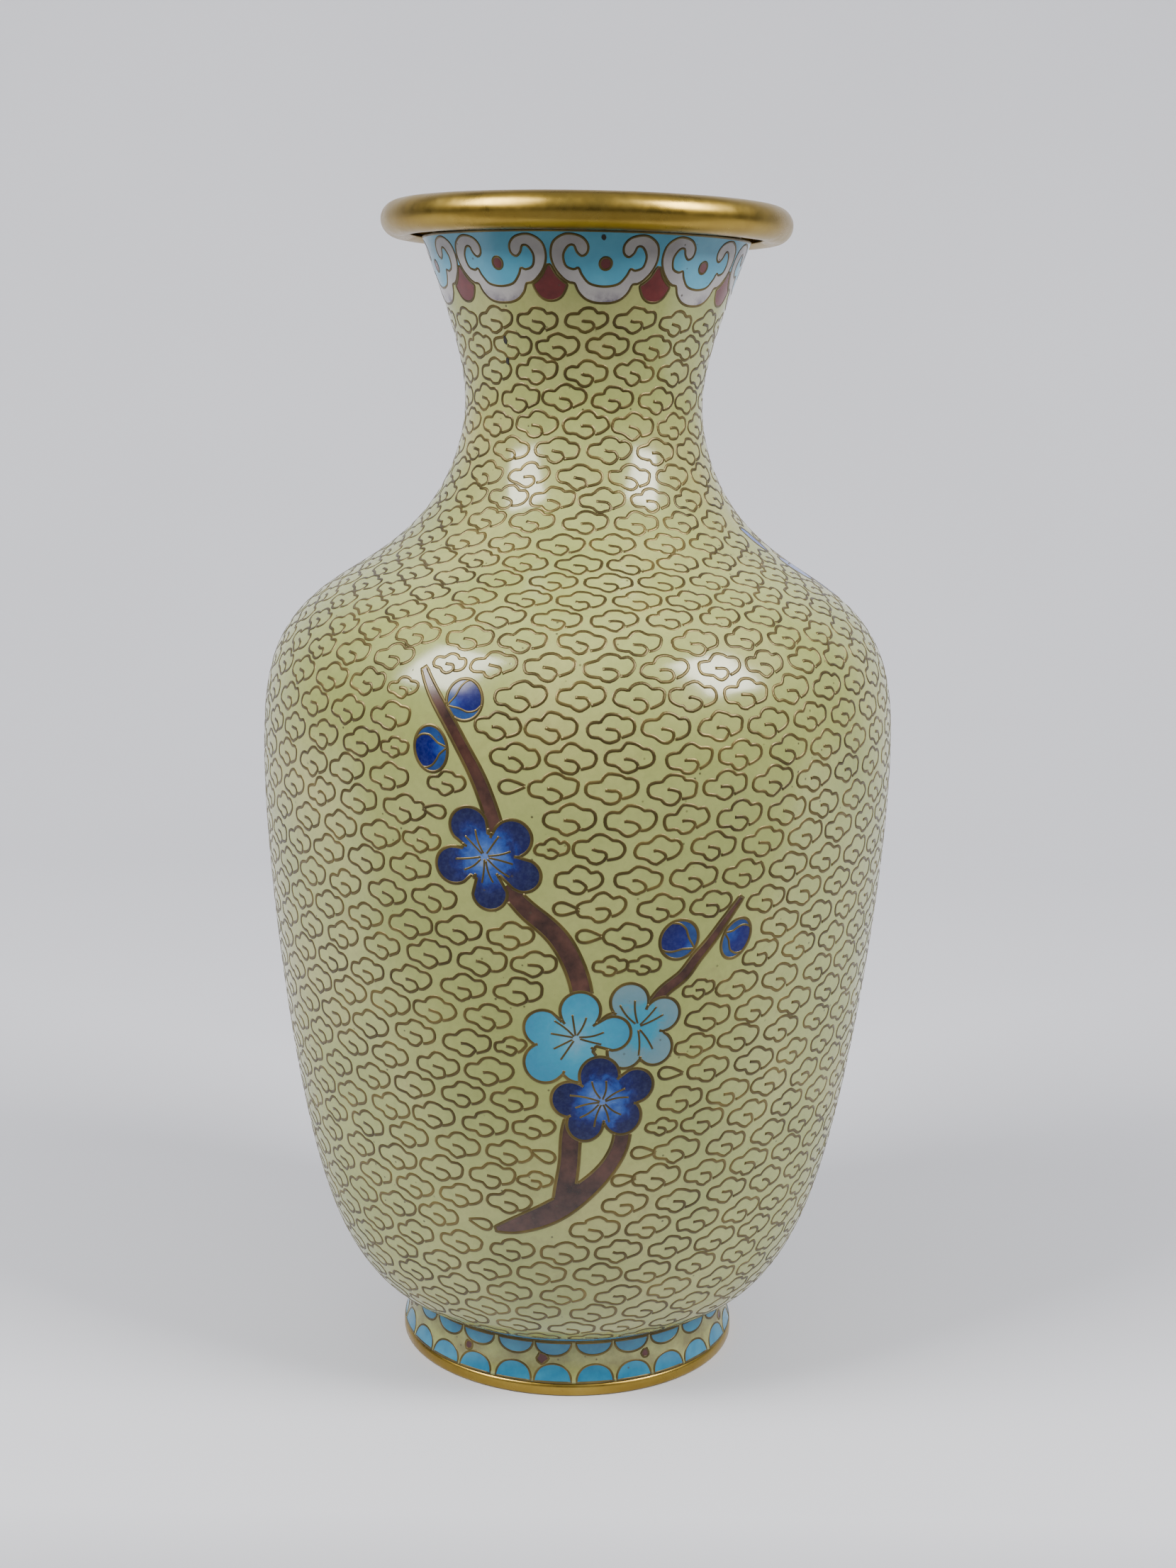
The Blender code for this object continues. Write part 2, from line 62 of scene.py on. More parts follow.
# Flat drawings are wrapped round the vase with these arc-length radii.
BELLY_WRAP = 50.0
COLLAR_WRAP = 24.0
FOOT_WRAP = 28.0
SHOULDER_WRAP = 34.0

# Wires: a flat ribbon, sunk in the glaze and ground almost level with it.
WIRE_WIDTH = 0.56
STAMEN_WIDTH = 0.36
NOTCH_WIDTH = 0.52
COLLAR_WIRE_WIDTH = 0.44
WIRE_SUNK = -0.05
WIRE_PROUD = 0.035
WIRE_STEP = 0.4
FLOWER_STEP = 2.5

# The thickness of the sheets that the coloured cells are made of.
SHEET = 0.25

# Heights of the coloured cells above the ground glaze, so that each lies over what it overlaps.
LIFT_BUD = 0.004
LIFT_BRANCH = 0.008
LIFT_PALE = 0.012
LIFT_TURQUOISE = 0.018
LIFT_DARK = 0.024

# The collar: nine cloud heads. Halves run from the middle line, as (bearing from the middle, height).
HEADS = 9
HEAD_PITCH = 360.0 / HEADS
FIRST_HEAD = 6.6 - 4 * HEAD_PITCH
HEAD_BAND_HALF = [
    (0.0, 174.2), (3.6, 174.3), (7.0, 174.8), (9.6, 175.8), (11.1, 177.0), (12.8, 177.1), (15.3, 177.7),
    (18.3, 179.2), (19.5, 181.0), (18.3, 182.9), (14.0, 184.0), (9.0, 183.7), (6.4, 182.6), (6.5, 181.4),
    (8.4, 180.9), (10.2, 181.5), (11.2, 182.4), (13.2, 182.3), (15.0, 181.0), (14.2, 179.5), (11.4, 179.0),
    (9.6, 179.2), (8.3, 178.2), (5.4, 177.0), (0.0, 176.6),
]
DROP_HALF = [(0.0, 174.4), (2.6, 174.6), (4.8, 175.3), (6.4, 176.7), (5.2, 177.1), (2.6, 178.1),
    (0.5, 179.6)]
FIELD_LOWER_HALF = [(0.0, 175.4), (6.5, 176.0), (10.0, 177.9), (14.0, 178.4), (17.0, 179.4), (20.0, 178.8)]
HEAD_DOT = (179.9, 0.9)

# The foot's scallops: two rows, cusps in phase.
SCALLOPS = 26
SCALLOP_PHASE = -11.4
SCALLOP_WIDTH = 0.9
HANGING_TOP = 8.7
HANGING_DEPTH = 2.15
STANDING_BASE = 2.3
STANDING_RISE = 2.75
FOOT_DOTS = [(-36.2, 5.8, 0.75), (-8.3, 6.0, 0.95), (28.0, 5.9, 0.7), (71.0, 5.7, 0.8),
    (150.0, 5.9, 0.9), (-120.0, 6.0, 0.8), (-78.0, 5.7, 0.6)]

# Flowers: centre as (bearing, height), the core's radius, petals as (x, y, radius) from the centre,
# and stamens as (angle, length).
FLOWERS = {
    "flower_upper": {
        "centre": (-14.8, 94.9), "core": 3.5,
        "petals": [(-2.41, 4.43, 2.8), (3.97, 2.93, 2.8), (5.6, -2.5, 2.5), (0.72, -5.5, 2.55),
            (-4.56, -1.63, 2.8)],
        "stamens": [(135, 4.1), (109, 4.2), (57, 3.8), (15, 3.9), (-12, 4.2), (-38, 4.6), (-72, 4.0),
            (-96, 4.0), (-144, 3.8), (-171, 4.4)],
    },
    "flower_turquoise": {
        "centre": (0.6, 67.6), "core": 3.3,
        "petals": [(0.58, 4.26, 3.0), (5.6, 0.68, 2.7), (0.58, -4.26, 2.9), (-4.65, -4.17, 3.2),
            (-4.94, 1.36, 2.9)],
        "stamens": [(141, 4.2), (99, 3.7), (65, 3.6), (12, 4.3), (-15, 4.0), (-122, 4.2), (-151, 3.8),
            (171, 3.8)],
    },
    "flower_pale": {
        "centre": (11.3, 69.2), "core": 2.6,
        "petals": [(-1.45, 4.07, 2.87), (3.68, 1.84, 2.7), (2.8, -3.5, 2.75), (-1.84, -3.9, 2.7),
            (-3.6, 0.0, 2.3)],
        "stamens": [(129, 4.6), (99, 4.3), (49, 4.1), (25, 4.2), (-56, 4.4), (-86, 4.6)],
    },
    "flower_lower": {
        "centre": (5.55, 57.2), "core": 3.6,
        "petals": [(-0.58, 4.26, 3.1), (5.14, 2.52, 2.8), (3.3, -2.5, 3.0), (-2.6, -3.6, 2.9),
            (-5.1, 0.4, 2.9)],
        "stamens": [(117, 3.8), (82, 3.5), (31, 4.1), (9, 4.2), (-35, 3.8), (-70, 3.6), (-105, 4.3),
            (-143, 4.3), (-167, 4.3), (168, 5.2)],
    },
    "back_flower": {
        "centre": (168.0, 84.0), "core": 3.4,
        "petals": [(-1.6, 4.6, 2.9), (4.1, 2.8, 2.8), (4.2, -3.2, 2.8), (-1.5, -4.7, 2.8),
            (-4.9, 0.0, 2.9)],
        "stamens": [(130, 4.0), (100, 4.2), (55, 3.8), (20, 4.1), (-14, 4.2), (-52, 4.2), (-85, 3.9),
            (-122, 4.1), (-155, 4.2), (172, 4.0)],
    },
}
# Buds: (bearing, height, wide, tall, turn, angle of the base on the branch's side).
BUDS = {
    "bud_upper_right": (-19.1, 117.4, 5.5, 5.9, 20.0, 200.0),
    "bud_upper_left": (-24.4, 110.1, 5.2, 6.8, 12.0, 8.0),
    "bud_right_inner": (17.7, 82.6, 5.8, 6.2, -30.0, -32.0),
    "bud_right_outer": (28.3, 82.0, 4.6, 6.5, -25.0, 152.0),
    "back_bud_left": (162.0, 104.5, 5.2, 6.0, 20.0, 200.0),
    "back_bud_right": (187.5, 73.0, 5.0, 6.0, -35.0, 150.0),
}
# A bud's inner wires: (angle from the base, share of the way out), on its long and its short side.
SEPAL_LONG = [(0, 0.98), (12, 0.74), (34, 0.52), (62, 0.48), (92, 0.60), (122, 0.80), (148, 0.99)]
SEPAL_SHORT = [(0, 0.98), (-14, 0.72), (-36, 0.54), (-62, 0.54), (-88, 0.68), (-108, 0.86), (-122, 0.99)]

# Branches as a centre line of (bearing, height, width).
BRANCHES = {
    "branch_upper": [(-27.7, 121.4, 0.9), (-24.6, 117.8, 1.6), (-21.3, 114.0, 1.8), (-18.4, 110.1, 1.9),
        (-15.9, 106.2, 2.1), (-13.6, 101.0, 2.2), (-12.6, 98.0, 2.2)],
    "branch_middle": [(-11.4, 90.6, 2.2), (-7.6, 87.1, 2.8), (-5.2, 85.4, 2.9), (-2.5, 83.0, 3.0),
        (-0.2, 79.4, 3.0), (1.3, 75.4, 3.0), (1.8, 71.5, 3.0)],
    "branch_right": [(12.0, 69.5, 1.9), (15.3, 74.5, 1.8), (18.6, 76.8, 1.8), (20.7, 79.2, 1.7),
        (23.1, 81.7, 1.5), (25.3, 84.3, 1.3), (28.8, 88.4, 0.8)],
    "branch_stem": [(9.4, 53.4, 2.6), (9.3, 50.4, 2.7), (7.3, 46.4, 2.8), (3.1, 42.4, 3.4),
        (-2.5, 38.8, 3.9), (-8.2, 36.4, 3.3), (-12.0, 35.2, 2.3), (-15.0, 34.5, 0.9)],
    "branch_fork": [(1.0, 55.0, 3.2), (0.1, 51.8, 3.2), (-0.2, 47.0, 3.2), (-0.7, 43.6, 3.4),
        (-1.2, 40.6, 3.4)],
    "back_branch_upper": [(148.0, 112.0, 0.9), (154.5, 101.0, 2.0), (161.0, 92.0, 2.6), (166.0, 86.0, 2.8)],
    "back_branch_lower": [(173.0, 78.6, 3.0), (177.0, 74.5, 3.2), (180.0, 68.0, 3.2), (178.0, 58.0, 3.0)],
}
# Wires stop where these cells lie over them.
UNDER = {
    "bud_upper_left": ["branch_upper"],
    "bud_upper_right": ["branch_upper"],
    "bud_right_inner": ["branch_right"],
    "bud_right_outer": ["branch_right"],
    "back_bud_left": ["back_branch_upper"],
    "back_bud_right": ["back_branch_lower"],
    "branch_upper": ["flower_upper"],
    "branch_middle": ["flower_upper", "flower_turquoise"],
    "branch_right": ["flower_pale"],
    "branch_stem": ["flower_lower", "branch_fork"],
    "branch_fork": ["flower_lower", "branch_stem"],
    "flower_pale": ["flower_turquoise", "flower_lower"],
    "flower_turquoise": ["flower_lower"],
    "back_branch_upper": ["back_flower"],
    "back_branch_lower": ["back_flower"],
}

# The butterfly at the back right, and the petal that drifts in front of it.
BUTTERFLY = (92.0, 133.5)
BUTTERFLY_TURN = 25.0
BUTTERFLY_BODY = [(0.0, 3.2), (0.6, 2.2), (0.8, 0.0), (0.6, -2.2), (0.0, -3.4), (-0.6, -2.2),
    (-0.8, 0.0), (-0.6, 2.2)]
UPPER_WING = [(0.7, 0.6), (2.6, 2.4), (5.2, 4.4), (7.0, 4.6), (7.2, 2.6), (6.0, 0.8), (3.4, -0.2)]
LOWER_WING = [(0.7, -0.2), (3.2, -0.5), (5.0, -0.9), (5.2, -2.6), (3.8, -3.8), (2.2, -3.0), (1.0, -1.6)]
FEELER_AND_VEINS = [[(0.2, 3.0), (1.4, 4.6), (3.0, 5.6)], [(0.8, 0.6), (3.0, 2.0), (5.4, 3.2)],
    [(0.8, -0.4), (2.4, -1.4), (4.0, -2.2)]]
DRIFTING_PETAL = [(69.6, 139.9), (72.4, 140.0), (75.6, 139.0), (77.4, 137.4), (76.0, 136.3),
    (73.0, 137.2), (71.0, 138.6)]

# The cloud ground. A cloud is one open wire that begins inside it; sizes are for a full-size cloud.
CLOUD = [
    (-0.81, -0.13), (-0.1, -0.18), (0.81, -0.36), (1.22, -1.0), (0.98, -1.54), (0.4, -1.95), (-0.16, -2.09),
    (-0.98, -1.85), (-1.47, -1.38), (-2.0, -1.24), (-3.0, -1.05), (-3.48, -0.35), (-3.25, 0.6),
    (-2.5, 0.98), (-1.47, 1.02), (-1.14, 1.44), (-0.49, 1.99), (0.49, 2.07), (1.3, 1.76), (1.79, 1.33),
    (2.77, 1.35), (3.42, 0.82), (3.5, 0.03), (3.1, -0.75), (2.12, -1.25), (1.4, -1.4),
]
CLOUD_HALF_WIDTH = 3.5
TEARDROP = [(1.9, 0.1), (0.9, 0.55), (-0.4, 0.95), (-1.4, 0.75), (-1.8, 0.0), (-1.4, -0.75),
    (-0.4, -0.9), (0.9, -0.45), (1.9, 0.0)]
TOP_ROW = 171.7
BOTTOM_ROW = 11.4
ROW_PITCH = (4.42, 4.0)
CLOUD_SPACING = (8.45, 7.7)
CLOUD_SIZE = (1.04, 0.96)
SHRINK_FROM = 118.0
SHRINK_TO = 150.0
CLEARANCE = 0.42
# Beside a motif a cloud is tried with these shifts and sizes, and then a teardrop with these shifts.
CLOUD_TRIES = [(0.0, 1.0), (0.6, 0.95), (-0.6, 0.95), (1.1, 0.85), (-1.1, 0.85), (1.7, 0.7), (-1.7, 0.7)]
TEARDROP_TRIES = [0.0, 1.4, -1.4, 2.4, -2.4, 3.2, -3.2]
# The cloud wires are parted by height into pieces; each takes the rows below its limit.
CLOUD_BANDS = {"lower_belly": 40.0, "middle_belly": 74.0, "upper_belly": 110.0, "shoulder": 136.0,
    "neck": HEIGHT}

# How far the shading runs: from a flower's centre, and from a bud's base.
FLOWER_SHADED = 7.8
BUD_SHADED = 5.5

# Heights between which the added colour fades out: on the foot a darkening towards the bottom, and on the
# white heads a stain.
LOW_DARKENING_FADE = (8.8 * MM, 10.5 * MM)
STAIN_FADE = (174.6 * MM, 176.2 * MM)

# Edges between faces that turn more than this stay crisp.
SHARP_ANGLE = math.radians(40.0)

# Open pits near the neck: (bearing, height, radius).
PITS = [(-36.2, 168.6, 0.42), (-36.4, 165.4, 0.34), (5.6, 183.6, 0.3)]

# The camera: its place in front of the vase, its aim in radians, and its lens.
CAMERA_DISTANCE = 349.9
CAMERA_HEIGHT = 163.8
CAMERA_PITCH = 0.1907
CAMERA_YAW = 0.0053
CAMERA_ROLL = 0.0191
LENS = 32.55
SENSOR = 24.0

# The room's brightness low down and overhead, and the stage, in metres.
ROOM_LOW = 0.05
ROOM_HIGH = 0.6
STAGE_HALF_WIDTH = 2.2
FLOOR_FRONT = -1.6
# Where the floor's painted shade in front of the vase fades out to pale, along Y.
FLOOR_SHADE_FADE_FROM = -0.125
FLOOR_SHADE_FADE_TO = -0.065
COVE_FROM = 0.35
COVE_RADIUS = 0.35
COVE_TOP = 2.0

rng = random.Random(11)


def natural_spline(points, steps):
    """A smooth curve through the points, with no bend at its two ends."""
    points = np.array(points, float)
    chord = np.sqrt(np.linalg.norm(np.diff(points, axis=0), axis=1))
    knots = np.concatenate([[0.0], np.cumsum(chord)])
    count = len(points)
    system = np.eye(count)
    rise = np.zeros_like(points)
    for i in range(1, count - 1):
        before = knots[i] - knots[i - 1]
        after = knots[i + 1] - knots[i]
        system[i, i - 1 : i + 2] = before, 2 * (before + after), after
        rise[i] = 6 * ((points[i + 1] - points[i]) / after - (points[i] - points[i - 1]) / before)
    bend = np.linalg.solve(system, rise)
    t = np.linspace(0.0, knots[-1], steps)
    i = np.clip(np.searchsorted(knots, t, side="right") - 1, 0, count - 2)
    span = knots[i + 1] - knots[i]
    a = ((knots[i + 1] - t) / span)[:, None]
    b = 1.0 - a
    bow = ((a**3 - a) * bend[i] + (b**3 - b) * bend[i + 1]) * span[:, None] ** 2 / 6
    return a * points[i] + b * points[i + 1] + bow


def smooth(points, step, closed=False):
    """A curve through the points, sampled about every step."""
    points = np.array(points, float)
    if closed:
        ring = np.vstack([points[-1], points, points[0], points[1]])
    else:
        ring = np.vstack([2 * points[0] - points[1], points, 2 * points[-1] - points[-2]])
    stretches = []
    for a, b, c, d in zip(ring, ring[1:], ring[2:], ring[3:]):
        count = max(1, int(round(np.linalg.norm(c - b) / step)))
        t = (np.arange(count) / count)[:, None]
        bend = (c - a) * t + (2 * a - 5 * b + 4 * c - d) * t**2 + (3 * b - a - 3 * c + d) * t**3
        stretches.append(b + 0.5 * bend)
    if not closed:
        stretches.append(points[-1:])
    return np.vstack(stretches)


def direction_along(path):
    along = np.gradient(path, axis=0)
    return along / np.linalg.norm(along, axis=1)[:, None]


def beside(path, distance):
    """A flat path moved to its left, or for a negative distance to its right."""
    along = direction_along(path)
    return path + distance * np.stack([-along[:, 1], along[:, 0]], axis=1)


BODY = natural_spline(STATIONS, 1201)
BODY_ALONG = direction_along(BODY)
BODY_ARC = np.concatenate([[0.0], np.cumsum(np.linalg.norm(np.diff(BODY, axis=0), axis=1))])


def radius_at(height):
    return np.interp(height, BODY[:, 1], BODY[:, 0])


def arc_at(height):
    return np.interp(height, BODY[:, 1], BODY_ARC)


def height_at(arc):
    return np.interp(arc, BODY_ARC, BODY[:, 1])


def around(bearing, radius, height):
    angle = np.radians(bearing)
    return np.stack([radius * np.sin(angle), -radius * np.cos(angle), height], axis=-1) * MM


def on_body(bearing, height, lift):
    """A point on the body's glaze, or a lift above it, in metres."""
    out = np.interp(height, BODY[:, 1], BODY_ALONG[:, 1])
    up = -np.interp(height, BODY[:, 1], BODY_ALONG[:, 0])
    return around(bearing, radius_at(height) + lift * out, height + lift * up)


def foot_radius(height):
    """The foot's outer surface: a waist that flares to the band."""
    fall = (FOOT_TOP - height) / (FOOT_TOP - FOOT_BAND_HEIGHT)
    return FOOT_WAIST_RADIUS + (FOOT_RADIUS - 0.1 - FOOT_WAIST_RADIUS) * fall**2


def on_foot(bearing, height, lift):
    return around(bearing, foot_radius(height) + lift, height)


def flat(bearing, wrap):
    return np.radians(bearing) * wrap


def unwrapped(outline, wrap):
    """(arc length, height) points as bearings and heights."""
    return np.degrees(outline[:, 0] / wrap), outline[:, 1]


def drawn_at(shape, bearing, height, turn, wrap):
    """A local drawing turned and moved to its place."""
    c = math.cos(math.radians(turn))
    s = math.sin(math.radians(turn))
    shape = np.array(shape, float)
    x = flat(bearing, wrap) + shape[:, 0] * c - shape[:, 1] * s
    return np.stack([x, height + shape[:, 0] * s + shape[:, 1] * c], axis=1)


def inside(points, outline):
    """Which points lie inside the closed outline."""
    x, y = points[:, 0], points[:, 1]
    hit = np.zeros(len(points), bool)
    for (x0, y0), (x1, y1) in zip(outline, np.roll(outline, -1, axis=0)):
        if y0 != y1:
            crosses = (y0 > y) != (y1 > y)
            hit ^= crosses & (x < (x1 - x0) * (y - y0) / (y1 - y0) + x0)
    return hit


def grid_over(low, high, step):
    """Points on a square grid from one flat corner to the other."""
    across, up = np.meshgrid(np.arange(low[0], high[0], step), np.arange(low[1], high[1], step))
    return np.stack([across, up], axis=-1).reshape(-1, 2)


def srgb(colour):
    """A screen colour, 0 to 255 a channel, as linear values."""
    shares = [c / 255.0 for c in colour]
    linear = [c / 12.92 if c <= 0.04045 else ((c + 0.055) / 1.055) ** 2.4 for c in shares]
    return (*linear, 1.0)


class Nodes:
    """A node tree that is filled by short calls."""

    def __init__(self, tree):
        self.tree = tree

    def join(self, value, socket):
        if isinstance(value, bpy.types.NodeSocket):
            self.tree.links.new(value, socket)
        else:
            socket.default_value = srgb(value) if isinstance(value, tuple) else value

    def add(self, kind, **values):
        """A new node, with each value put or linked into the input of its name."""
        node = self.tree.nodes.new("ShaderNode" + kind)
        for name, value in values.items():
            self.join(value, node.inputs[name.replace("_", " ")])
        return node


class Look(Nodes):
    """A node material: a Principled shader, and helpers that add nodes in front of it."""

    def __init__(self, name, roughness, metallic=0.0):
        self.material = bpy.data.materials.new(name)
        self.material.use_nodes = True
        super().__init__(self.material.node_tree)
        self.shader = self.tree.nodes["Principled BSDF"]
        self.rough(roughness)
        self.shader.inputs["Metallic"].default_value = metallic
        self.place = self.add("TexCoord").outputs["Object"]

    def noise(self, scale, detail=3.0, rough=0.5, distortion=0.0):
        node = self.add("TexNoise", Vector=self.place, Scale=scale, Detail=detail, Roughness=rough)
        node.inputs["Distortion"].default_value = distortion
        return node.outputs["Fac"]

    def cells(self, scale):
        return self.add("TexVoronoi", Vector=self.place, Scale=scale).outputs["Distance"]

    def attribute(self, name):
        node = self.add("Attribute")
        node.attribute_name = name
        return node.outputs["Fac"]

    def along(self, axis):
        return self.add("SeparateXYZ", Vector=self.place).outputs[axis]

    def combine(self, operation, first, second):
        node = self.add("Math")
        node.operation = operation
        self.join(first, node.inputs[0])
        self.join(second, node.inputs[1])
        return node.outputs["Value"]

    def between(self, value, low, high, low_to=0.0, high_to=1.0):
        node = self.add("MapRange", Value=value, From_Min=low, From_Max=high, To_Min=low_to, To_Max=high_to)
        return node.outputs["Result"]

    def ramp(self, value, stops):
        node = self.add("ValToRGB")
        elements = node.color_ramp.elements
        while len(elements) < len(stops):
            elements.new(0.5)
        for element, (position, colour) in zip(elements, stops):
            element.position = position
            element.color = srgb(colour)
        self.join(value, node.inputs["Fac"])
        return node.outputs["Color"]

    def mix(self, share, first, second):
        node = self.add("Mix")
        node.data_type = "RGBA"
        self.join(share, node.inputs["Factor"])
        self.join(first, node.inputs["A"])
        self.join(second, node.inputs["B"])
        return node.outputs["Result"]

    def colour(self, value):
        self.join(value, self.shader.inputs["Base Color"])

    def rough(self, value):
        self.join(value, self.shader.inputs["Roughness"])

    def bump(self, value, strength, distance):
        node = self.add("Bump", Height=value, Strength=strength, Distance=distance * MM)
        self.join(node.outputs["Normal"], self.shader.inputs["Normal"])


def finish_enamel(look, colour, specks=0.8, speck_scale=430.0):
    """What all polished enamel shares: dark specks, fine pits and an almost level surface."""
    dots = look.between(look.cells(speck_scale), 0.06, 0.1, 1.0, 0.0)
    some = look.between(look.noise(90.0, 1.0), 0.42, 0.58)
    speck = look.combine("MULTIPLY", look.combine("MULTIPLY", dots, some), specks)
    look.colour(look.mix(speck, colour, (60, 52, 40)))
    ripple = look.combine("MULTIPLY", look.noise(420.0, 2.0), 0.25)
    look.bump(look.combine("SUBTRACT", ripple, speck), 0.25, 0.06)


def ground_look():
    look = Look("ground_enamel", 0.2)
    cloudy = look.noise(38.0, 4.0, 0.55)
    tone = look.ramp(cloudy, [(0.3, (136, 143, 82)), (0.5, (147, 152, 91)), (0.7, (158, 157, 99))])
    fine = look.between(look.noise(900.0, 3.0, 0.7), 0.35, 0.7, 0.0, 0.22)
    grain = look.mix(fine, tone, (108, 114, 66))
    stain = look.between(look.noise(150.0, 4.0, 0.7, 0.4), 0.60, 0.72, 0.0, 0.35)
    stained = look.mix(stain, grain, (126, 120, 80))
    # The foot, and the belly just above it, are darker towards the bottom, in patches.
    low = look.between(look.along("Z"), *LOW_DARKENING_FADE, 1.0, 0.0)
    low_darkening = look.combine("MULTIPLY", low, look.between(look.noise(260.0, 4.0, 0.65), 0.35, 0.65, 0.15, 0.8))
    finish_enamel(look, look.mix(low_darkening, stained, (96, 88, 58)))
    look.rough(look.between(look.noise(300.0, 2.0), 0.3, 0.7, 0.12, 0.18))
    return look.material


def plain_look(name, dark, light, scale, roughness=0.18):
    look = Look(name, roughness)
    mottle = look.noise(scale, 4.0, 0.6)
    finish_enamel(look, look.ramp(mottle, [(0.32, dark), (0.68, light)]), 0.7)
    return look.material


def shaded_look(name, stops, stray=0.3):
    """Enamel shaded outwards along the "spread" attribute, with a broken edge between the tones."""
    look = Look(name, 0.17)
    wander = look.between(look.noise(520.0, 4.0, 0.6, 0.6), 0.3, 0.7, -0.5 * stray, 0.5 * stray)
    spread = look.combine("ADD", look.attribute("spread"), wander)
    tone = look.ramp(spread, stops)
    grain = look.between(look.noise(1500.0, 2.0, 0.7), 0.4, 0.75, 0.0, 0.06)
    finish_enamel(look, look.mix(grain, tone, (120, 140, 190)), 0.6, 420.0)
    return look.material


def white_look():
    look = Look("white_enamel", 0.17)
    mottle = look.noise(160.0, 4.0, 0.6)
    tone = look.ramp(mottle, [(0.35, (146, 142, 144)), (0.7, (168, 165, 164))])
    low = look.between(look.along("Z"), *STAIN_FADE, 1.0, 0.0)
    stain = look.combine("MULTIPLY", low, look.between(look.noise(420.0, 4.0, 0.6), 0.38, 0.62))
    finish_enamel(look, look.mix(stain, tone, (98, 90, 104)), 0.8)
    return look.material


def wire_look():
    look = Look("cloison_wire", 0.36, 0.6)
    worn = look.noise(140.0, 3.0, 0.6)
    look.colour(look.ramp(worn, [(0.3, (70, 60, 32)), (0.5, (86, 74, 39)), (0.72, (110, 95, 51))]))
    look.rough(look.between(look.noise(700.0, 2.0), 0.3, 0.7, 0.3, 0.45))
    return look.material


def brass_look():
    look = Look("gilt_brass", 0.3, 1.0)
    worn = look.noise(60.0, 5.0, 0.65, 0.3)
    tone = look.ramp(worn, [(0.3, (138, 112, 48)), (0.52, (156, 130, 60)), (0.72, (166, 142, 72))])
    spots = look.between(look.noise(380.0, 4.0, 0.7), 0.66, 0.74, 0.0, 0.6)
    look.colour(look.mix(spots, tone, (104, 74, 40)))
    look.rough(look.between(look.noise(200.0, 3.0, 0.7), 0.3, 0.7, 0.24, 0.38))
    look.bump(look.noise(900.0, 3.0, 0.6), 0.12, 0.04)
    return look.material


def copper_look():
    look = Look("beaten_copper", 0.42, 1.0)
    look.colour(look.ramp(look.noise(80.0, 4.0, 0.6), [(0.3, (130, 80, 58)), (0.7, (186, 122, 88))]))
    look.bump(look.noise(160.0, 2.0), 0.3, 0.2)
    return look.material


def lining_look():
    look = Look("counter_enamel", 0.28)
    tone = look.ramp(look.noise(90.0, 4.0, 0.6), [(0.3, (44, 128, 150)), (0.7, (74, 158, 178))])
    finish_enamel(look, tone, 0.9, 200.0)
    return look.material


def pit_look():
    look = Look("open_pit", 0.6)
    look.colour(look.ramp(look.noise(1200.0), [(0.3, (14, 12, 12)), (0.7, (44, 34, 30))]))
    return look.material


def add_piece(name, mesh, look, replaced=(), thick=0.0):
    item = bpy.data.objects.new(name, mesh)
    bpy.context.scene.collection.objects.link(item)
    mesh.materials.append(look)
    mesh.shade_smooth()
    if thick:
        solid = item.modifiers.new("thickness", "SOLIDIFY")
        solid.thickness = thick * MM
        solid.offset = -1.0
        seen = bpy.context.evaluated_depsgraph_get()
        item.data = bpy.data.meshes.new_from_object(item.evaluated_get(seen))
        item.modifiers.clear()
        item.data.set_sharp_from_angle(angle=SHARP_ANGLE)
    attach(item, "root")
    if replaced:
        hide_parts(*replaced)


def new_mesh(name, points, faces):
    mesh = bpy.data.meshes.new(name)
    mesh.from_pydata(points, [], faces)
    return mesh


def quads(here, there, count):
    """Faces from one closed ring of points to another, by the number of each ring's first point."""
    return [(here + i, here + (i + 1) % count, there + (i + 1) % count, there + i) for i in range(count)]


def lathe(name, loop, segments, look, replaced=()):
    """A solid of revolution. The closed loop of (radius, height) runs down its outer side."""
    loop = np.array(loop, float)
    count = len(loop)
    bearings = np.arange(segments) * 360.0 / segments
    points = around(bearings[:, None], loop[None, :, 0], np.broadcast_to(loop[:, 1], (segments, count)))
    faces = []
    for i in range(segments):
        faces += quads(i * count, (i + 1) % segments * count, count)
    mesh = new_mesh(name, points.reshape(-1, 3).tolist(), faces)
    mesh.validate()
    add_piece(name, mesh, look, replaced)


def belt(name, rings, look, replaced, thick):
    """A turquoise band round the vase, through rings of points from its lower edge to its upper one."""
    count = len(rings[0])
    faces = []
    for start in range(0, count * (len(rings) - 1), count):
        faces += quads(start, start + count, count)
    mesh = new_mesh(name, np.vstack(rings).tolist(), faces)
    add_piece(name, mesh, look, replaced, thick)


def sheets(name, outlines, wrap, lift, spacing, look, replaced, spread=None, place=on_body):
    """Glaze cells: each closed outline of (arc length, height) filled with small faces on the surface.
    spread gives each point's shading value from its outline's number and its place."""
    points, faces, values = [], [], []
    for number, outline in enumerate(outlines):
        low, high = outline.min(axis=0), outline.max(axis=0)
        grid = grid_over(low + 0.5 * spacing, high, spacing)
        if len(grid):
            near = np.min(np.linalg.norm(grid[:, None] - outline[None], axis=2), axis=1)
            grid = grid[inside(grid, outline) & (near > 0.45 * spacing)]
        flat_points = [Vector(p) for p in np.vstack([outline, grid])]
        found = geometry.delaunay_2d_cdt(flat_points, [], [list(range(len(outline)))], 0, 1e-6, False)
        made = np.array([tuple(v) for v in found[0]], float)
        start = len(points)
        points.extend(place(*unwrapped(made, wrap), lift).tolist())
        corners = np.array(found[2])
        kept = corners[inside(made[corners].mean(axis=1), outline)]
        faces.extend((kept + start).tolist())
        if spread:
            values.extend(spread(number, made))
    mesh = new_mesh(name, points, faces)
    if spread:
        attribute = mesh.attributes.new("spread", "FLOAT", "POINT")
        attribute.data.foreach_set("value", np.array(values, np.float32))
    add_piece(name, mesh, look, replaced, SHEET)


